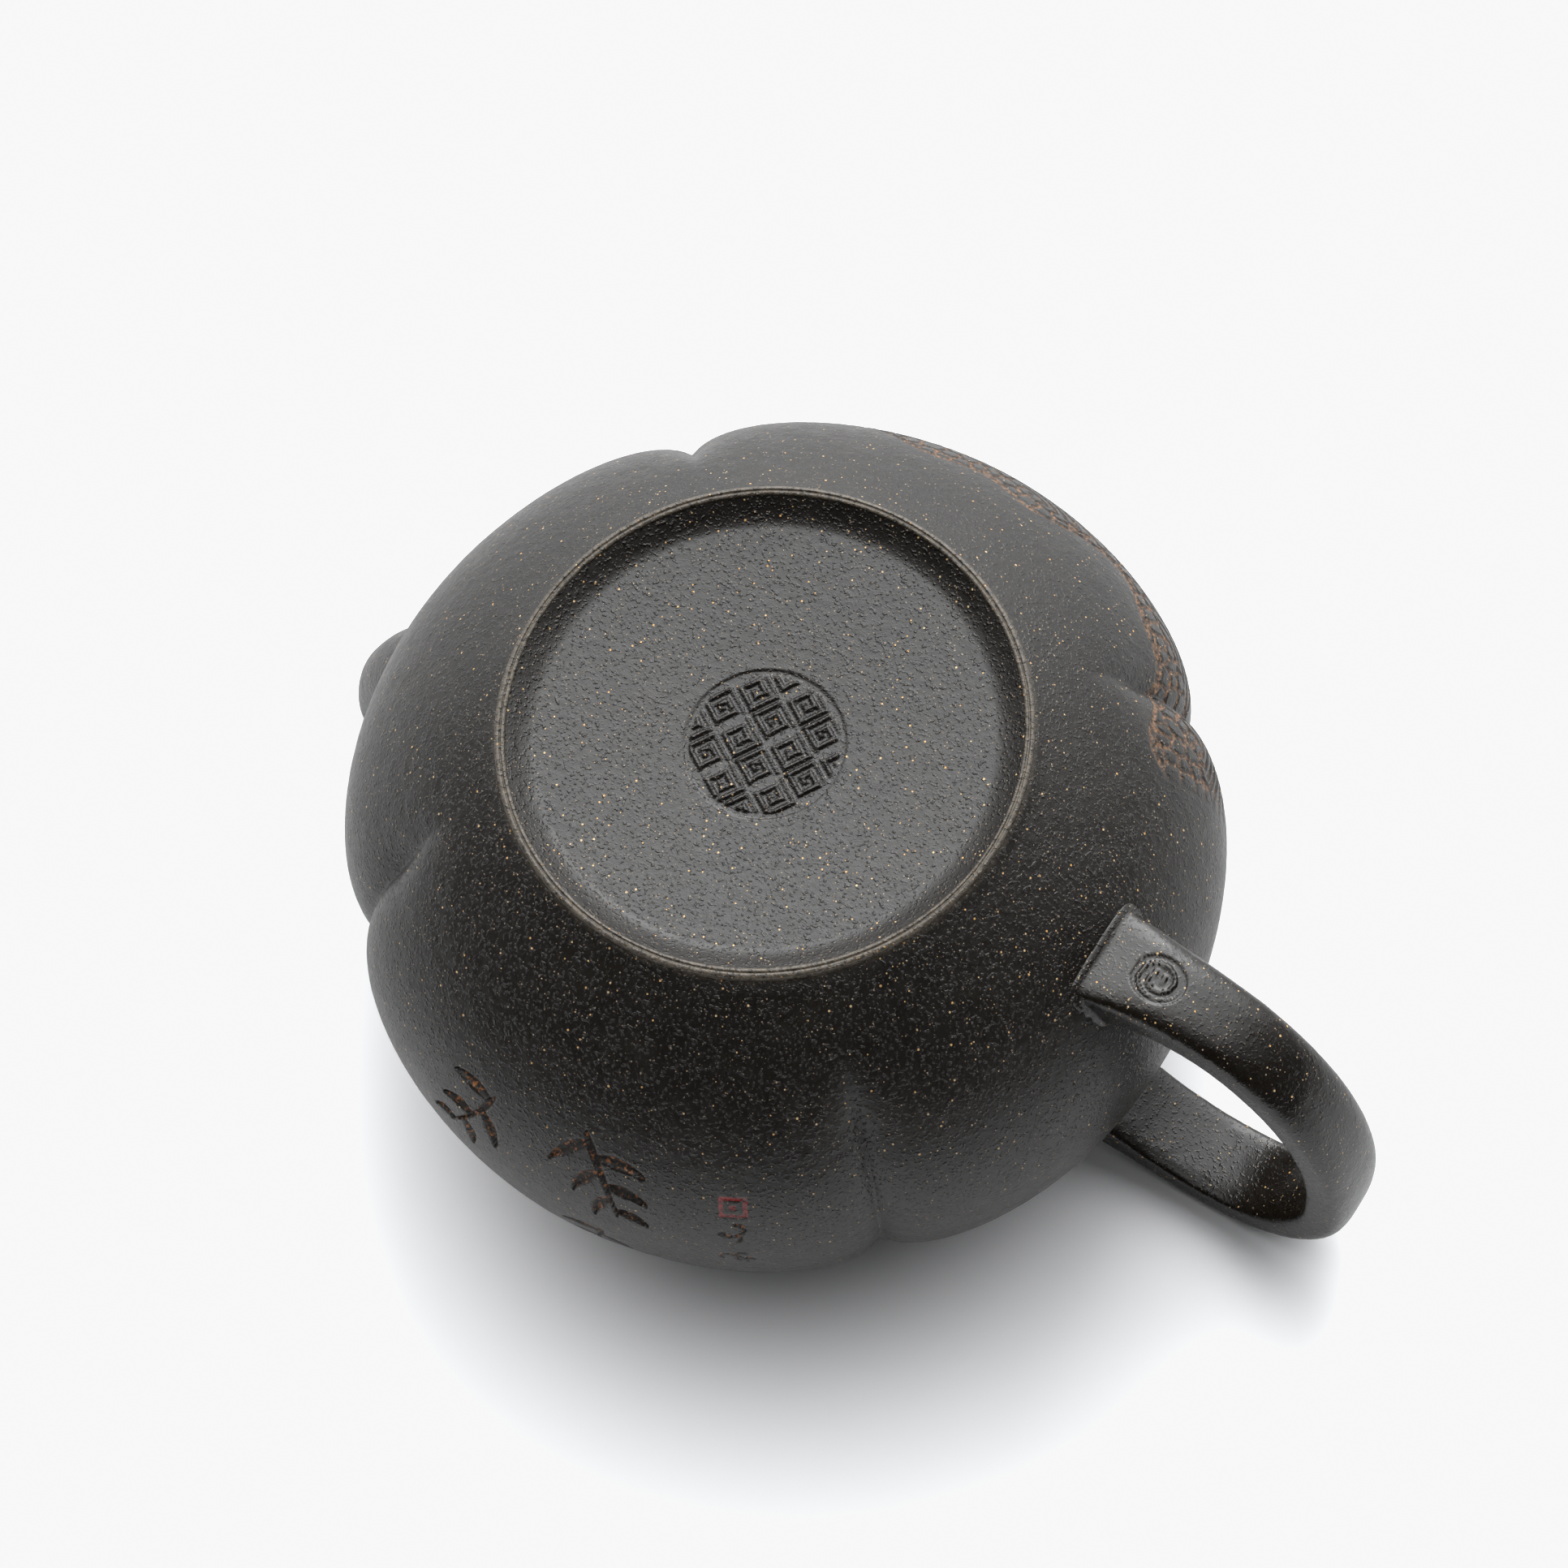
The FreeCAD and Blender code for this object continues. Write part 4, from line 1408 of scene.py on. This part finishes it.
@dataclass(frozen=True)
class ClayFinish:
    """Fired dark clay: brown-black, satin, with an uneven skin and mineral grains."""

    name: str
    dark: tuple = (0.0042, 0.0028, 0.0016)
    light: tuple = (0.0082, 0.0060, 0.0038)
    roughness: float = 0.38
    skin: float = 0.095
    gloss: float = 0.54
    gold: Specks = Specks(0.85, 0.115, 0.38, (0.52, 0.28, 0.08), (0.52, 0.38, 0.21))
    dust: Specks = Specks(0.50, 0.080, 0.52, (0.17, 0.11, 0.06), (0.27, 0.22, 0.155))
    dust_share: float = 0.6
    fillings: tuple = (
        Filling("cut", (0.15, 0.6), (0.52, 0.68), (0.008, 0.005, 0.003), (0.30, 0.105, 0.022)),
        Filling("scratch", (0.15, 0.7), (0.4, 0.7), (0.030, 0.020, 0.014), (0.22, 0.115, 0.055)),
        Filling("paint", (0.3, 0.6), (0.35, 0.6), (0.05, 0.006, 0.005), (0.22, 0.012, 0.010)))
    mottle: tuple = (9.0 * MM, 3.0, 0.6)
    fine: tuple = (0.8 * MM, 3.0, 0.6)
    rust: tuple = (0.55 * MM, 2.0, 0.6)
    patches: tuple = (2.6 * MM, 4.0, 0.65)
    mottle_share: float = 0.6
    mottle_step: tuple = (0.35, 0.7)
    # Paler colour of the foot's edge: bare worn clay and painted sheen.
    bare_sheen: tuple = (0.085, 0.068, 0.048)
    bare_sheen_share: float = 0.6
    bare_sheen_step: tuple = (0.35, 0.75)
    patchy: float = 0.2
    cut_rough: float = 0.25
    scratch_rough: float = 0.2
    rubbed_smooth: float = 0.1
    rubbed_flat: float = 0.6
    peel: tuple = (1.1 * MM, 1.0, 0.5)
    peel_high: float = 0.5
    pebble: tuple = (0.42 * MM, 1.5, 0.5)
    pebble_step: tuple = (0.5, 0.8)
    pebble_high: float = 0.9
    tooth: tuple = (0.2 * MM, 1.0, 0.5)
    tooth_high: float = 0.25
    grain_high: float = 0.45
    dust_high: float = 0.5

    def build(self) -> bpy.types.Material:
        """Make the material.

        Returns:
            It. Two layers of grains lie on a mottled brown-black. Knife cuts are darker, with rust
            in them, scratched lines are brown, and the painted square is red. The skin is a bump of
            three sizes of noise.
        """
        material = bpy.data.materials.new(self.name)
        material.use_nodes = True
        material.node_tree.nodes.clear()
        recipe = Recipe(material.node_tree)
        place = recipe.node("ShaderNodeTexCoord", {}, (), "Object")
        rust = recipe.noise(place, *self.rust)
        colour, grains = self.grained(recipe, place, rust)
        for filling in self.fillings:
            colour = filling.lay(recipe, rust, colour)
        rubbed = recipe.mark("rubbed")
        patches = recipe.noise(place, *self.patches) * self.patchy + (self.roughness - 0.5 * self.patchy)
        cuts = recipe.mark("cut") * self.cut_rough + recipe.mark("scratch") * self.scratch_rough
        bump = self.bump(recipe, place, grains, 1.0 - rubbed * self.rubbed_flat)
        recipe.end(recipe.node("ShaderNodeBsdfPrincipled", {}, {
            "Base Color": colour, "Roughness": patches + cuts - rubbed * self.rubbed_smooth,
            "Normal": bump, "Specular IOR Level": self.gloss}))
        return material

    def grained(self, recipe: Recipe, place: Wire, rust: Wire) -> tuple[Wire, Wire]:
        """The clay's own colour, with its grains, and a paler colour along the foot's edge that is partly
        wear and partly painted sheen.

        Args:
            recipe: The material's nodes.
            place: Position in metres.
            rust: Cloudy noise.

        Returns:
            The colour, and how far the grains stand proud, from 0 to 1.
        """
        speckle = recipe.mark("speckle")
        fine = recipe.noise(place, *self.fine)
        mottle = recipe.noise(place, *self.mottle) * self.mottle_share + fine * (1.0 - self.mottle_share)
        colour = recipe.mix(mottle.step(*self.mottle_step), (*self.dark, 1.0), (*self.light, 1.0))
        colour, dust = self.dust.lay(recipe, place, speckle * self.dust_share, colour)
        colour, gold = self.gold.lay(recipe, place, speckle, colour)
        # The foot bead and the band just over it get a paler colour. It is partly bare worn clay and partly
        # painted sheen for the light the bead's edge catches.
        patchy = (fine * self.bare_sheen_share + rust * self.bare_sheen_share).step(*self.bare_sheen_step)
        colour = recipe.mix(recipe.mark("worn") * patchy, colour, (*self.bare_sheen, 1.0))
        return colour, gold + dust * self.dust_high

    def bump(self, recipe: Recipe, place: Wire, grains: Wire, share: Wire) -> Wire:
        """The skin: soft peel, scattered pebbles and fine tooth, and grains that stand proud."""
        peel = recipe.noise(place, *self.peel) * self.peel_high
        pebble = recipe.noise(place, *self.pebble).step(*self.pebble_step) * self.pebble_high
        tooth = recipe.noise(place, *self.tooth) * self.tooth_high
        height = (peel + pebble + tooth + grains * self.grain_high) * share
        return recipe.node("ShaderNodeBump", {}, {"Strength": 1.0, "Distance": self.skin * MM,
                                                  "Height": height}, "Normal")


# ---------------------------------------------------------------- stage, lights and camera


@dataclass(frozen=True)
class Sheet:
    """A pale round surface, with or without a hole. It is clear when seen from behind."""

    name: str
    height: float
    faces_down: bool
    tone: float
    seen_only: bool
    hole: tuple | None = None
    mirrored: float = 0.66
    coolness: float = 1.01
    half: float = 2.5
    pinhole: float = 0.001
    around: int = 64

    def build(self) -> bpy.types.Object:
        """Make the sheet and its finish."""
        turn = np.linspace(0.0, 2.0 * math.pi, self.around, endpoint=False)
        x, y, r = self.hole or (0.0, 0.0, self.pinhole)
        inner = np.column_stack([x + r * np.cos(turn), y + r * np.sin(turn)])
        outer = self.half * np.column_stack([np.cos(turn), np.sin(turn)])
        points = np.column_stack([np.concatenate([inner, outer]), np.full(2 * self.around, self.height)])
        faces = grid_faces(2, self.around, round_columns=True, flip=not self.faces_down)
        mesh = bpy.data.meshes.new(self.name)
        mesh.from_pydata(points.tolist(), [], faces.tolist())
        made = bpy.data.objects.new(self.name, mesh)
        bpy.context.scene.collection.objects.link(made)
        mesh.materials.append(self.finish())
        if self.seen_only:
            made.visible_shadow = made.visible_diffuse = made.visible_glossy = False
        return made

    def finish(self) -> bpy.types.Material:
        """Matt paper, duller where the clay mirrors it, and clear from behind."""
        material = bpy.data.materials.new(self.name)
        material.use_nodes = True
        material.node_tree.nodes.clear()
        recipe = Recipe(material.node_tree)
        lit = (self.tone, self.tone, self.coolness * self.tone, 1.0)
        dull = (self.mirrored, self.mirrored, self.mirrored, 1.0)
        papers = [recipe.node("ShaderNodeBsdfDiffuse", {}, {"Color": colour}) for colour in (lit, dull)]
        mirrored = recipe.node("ShaderNodeLightPath", {}, (), "Is Glossy Ray")
        paper = recipe.node("ShaderNodeMixShader", {}, [mirrored, *papers])
        clear = recipe.node("ShaderNodeBsdfTransparent", {})
        behind = recipe.node("ShaderNodeNewGeometry", {}, (), "Backfacing")
        recipe.end(recipe.node("ShaderNodeMixShader", {}, [behind, paper, clear]))
        return material


@dataclass(frozen=True)
class SoftLight:
    """A large square lamp that looks at the pot, in metres."""

    name: str
    place: tuple
    size: float
    power: float
    colour: tuple
    target: tuple = (0.0, 0.0, 0.03)

    def build(self) -> bpy.types.Object:
        """Make the lamp."""
        lamp = bpy.data.lights.new(self.name, "AREA")
        lamp.shape = "SQUARE"
        lamp.size = self.size
        lamp.energy = self.power
        lamp.color = self.colour
        made = bpy.data.objects.new(self.name, lamp)
        bpy.context.scene.collection.objects.link(made)
        made.location = self.place
        aim = Vector(self.target) - Vector(self.place)
        made.rotation_euler = aim.to_track_quat("-Z", "Y").to_euler()
        made.visible_camera = False
        return made


@dataclass(frozen=True)
class Studio:
    """Pale room, bright to one side and dim on the viewer's side, and white where it is seen."""

    bright_way: tuple = (0.334, 0.664, -0.669)
    bright_step: tuple = (0.18, 1.05)
    steep_step: tuple = (0.0, 0.65)
    dim: float = 0.02
    bright: float = 4.3
    horizon: float = 0.5
    seen: float = 0.93
    tint: tuple = (0.98, 0.99, 1.0, 1.0)
    hole: tuple = (0.0093, 0.0105, 0.050)
    table_tone: float = 0.93
    floor_tone: float = 0.86
    gap: float = 0.0002
    lamp: SoftLight = SoftLight("window", (0.28, 0.73, -0.62), 0.60, 5.0, (0.99, 0.995, 1.0))

    def build(self) -> None:
        """Make the surroundings, the two sheets and the lamp."""
        self.room()
        table_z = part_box("handle")[1].z + self.gap
        Sheet("table_top", table_z, True, self.table_tone, False, self.hole).build()
        Sheet("floor", -self.gap, False, self.floor_tone, True).build()
        self.lamp.build()

    def room(self) -> None:
        """Light from the bright side, the same from above as from below, and even white in view."""
        world = bpy.data.worlds.new("room")
        bpy.context.scene.world = world
        world.use_nodes = True
        world.node_tree.nodes.clear()
        recipe = Recipe(world.node_tree)
        way = recipe.node("ShaderNodeTexCoord", {}, (), "Generated")
        folded = recipe.node("ShaderNodeVectorMath", {"operation": "ABSOLUTE"}, [way])
        flat = recipe.node("ShaderNodeVectorMath", {"operation": "MULTIPLY"}, [way, (1.0, 1.0, 0.0)])
        tall = recipe.node("ShaderNodeVectorMath", {"operation": "MULTIPLY"}, [folded, (0.0, 0.0, -1.0)])
        both = recipe.node("ShaderNodeVectorMath", {"operation": "ADD"}, [flat, tall])
        facing = recipe.node("ShaderNodeVectorMath", {"operation": "DOT_PRODUCT"},
                             [both, self.bright_way], "Value")
        steep = recipe.node("ShaderNodeSeparateXYZ", {}, [folded], "Z").step(*self.steep_step)
        share = steep * (1.0 - self.horizon) + self.horizon
        level = facing.step(*self.bright_step) * share * self.bright + self.dim
        seen = recipe.node("ShaderNodeLightPath", {}, (), "Is Camera Ray")
        strength = level * (1.0 - seen) + seen * self.seen
        sky = recipe.node("ShaderNodeBackground", {}, {"Color": self.tint, "Strength": strength})
        recipe.end(sky, "ShaderNodeOutputWorld")


@dataclass(frozen=True)
class Viewpoint:
    """Camera that looks up at the base of the standing pot, in metres and degrees."""

    aim: tuple = (-0.00586, -0.00493, 0.0)
    distance: float = 0.40688
    azimuth: float = -41.635
    elevation: float = -65.677
    roll: float = -9.949
    lens: float = 85.17
    sensor: float = 36.0
    nearest: float = 0.01

    def build(self) -> bpy.types.Object:
        """Make the camera: its back points along the azimuth and elevation, and its top along -Z."""
        a, e = math.radians(self.azimuth), math.radians(self.elevation)
        back = Vector((math.sin(a) * math.cos(e), -math.cos(a) * math.cos(e), math.sin(e)))
        down = Vector((0.0, 0.0, -1.0))
        up = (down - back * down.dot(back)).normalized()
        up = Matrix.Rotation(math.radians(self.roll), 3, back) @ up
        right = up.cross(back)
        data = bpy.data.cameras.new("camera")
        data.lens = self.lens
        data.sensor_width = self.sensor
        data.clip_start = self.nearest
        made = bpy.data.objects.new("camera", data)
        bpy.context.scene.collection.objects.link(made)
        place = Vector(self.aim) + back * self.distance
        turn = Matrix((right, up, back)).transposed().to_4x4()
        made.matrix_world = Matrix.Translation(place) @ turn
        bpy.context.scene.camera = made
        return made


def soften_whites(white: float) -> None:
    """Show everything from white up as a slightly lower, even tone."""
    view = bpy.context.scene.view_settings
    view.view_transform = "Standard"
    view.use_curve_mapping = True
    curve = view.curve_mapping
    curve.extend = "HORIZONTAL"
    curve.curves[3].points[1].location = (1.0, white)
    curve.update()


def dress(nodes: dict, clay: bpy.types.Material, names: tuple) -> None:
    """Give the frame's own pieces the clay finish."""
    for name in names:
        for slot in nodes[name].material_slots:
            slot.material = clay
        log.info("%s: frame piece in %s", name, clay.name)


def main() -> None:
    """Build the stage, then the pot's pieces from the body outwards."""
    logging.basicConfig(level=logging.INFO, format="%(name)s: %(message)s")
    soften_whites(WHITE)
    Viewpoint().build()
    Studio().build()
    clay = ClayFinish("clay").build()
    LobedBody().build(clay)
    BasePanel().build(clay)
    FootBead().build(clay)
    Handle().build(clay)
    Spout().build(clay)
    Lid().build(clay)
    dress(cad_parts, clay, ("mouth_ring", "lid_flange", "spout_strainer"))


if __name__ == "__main__":
    main()
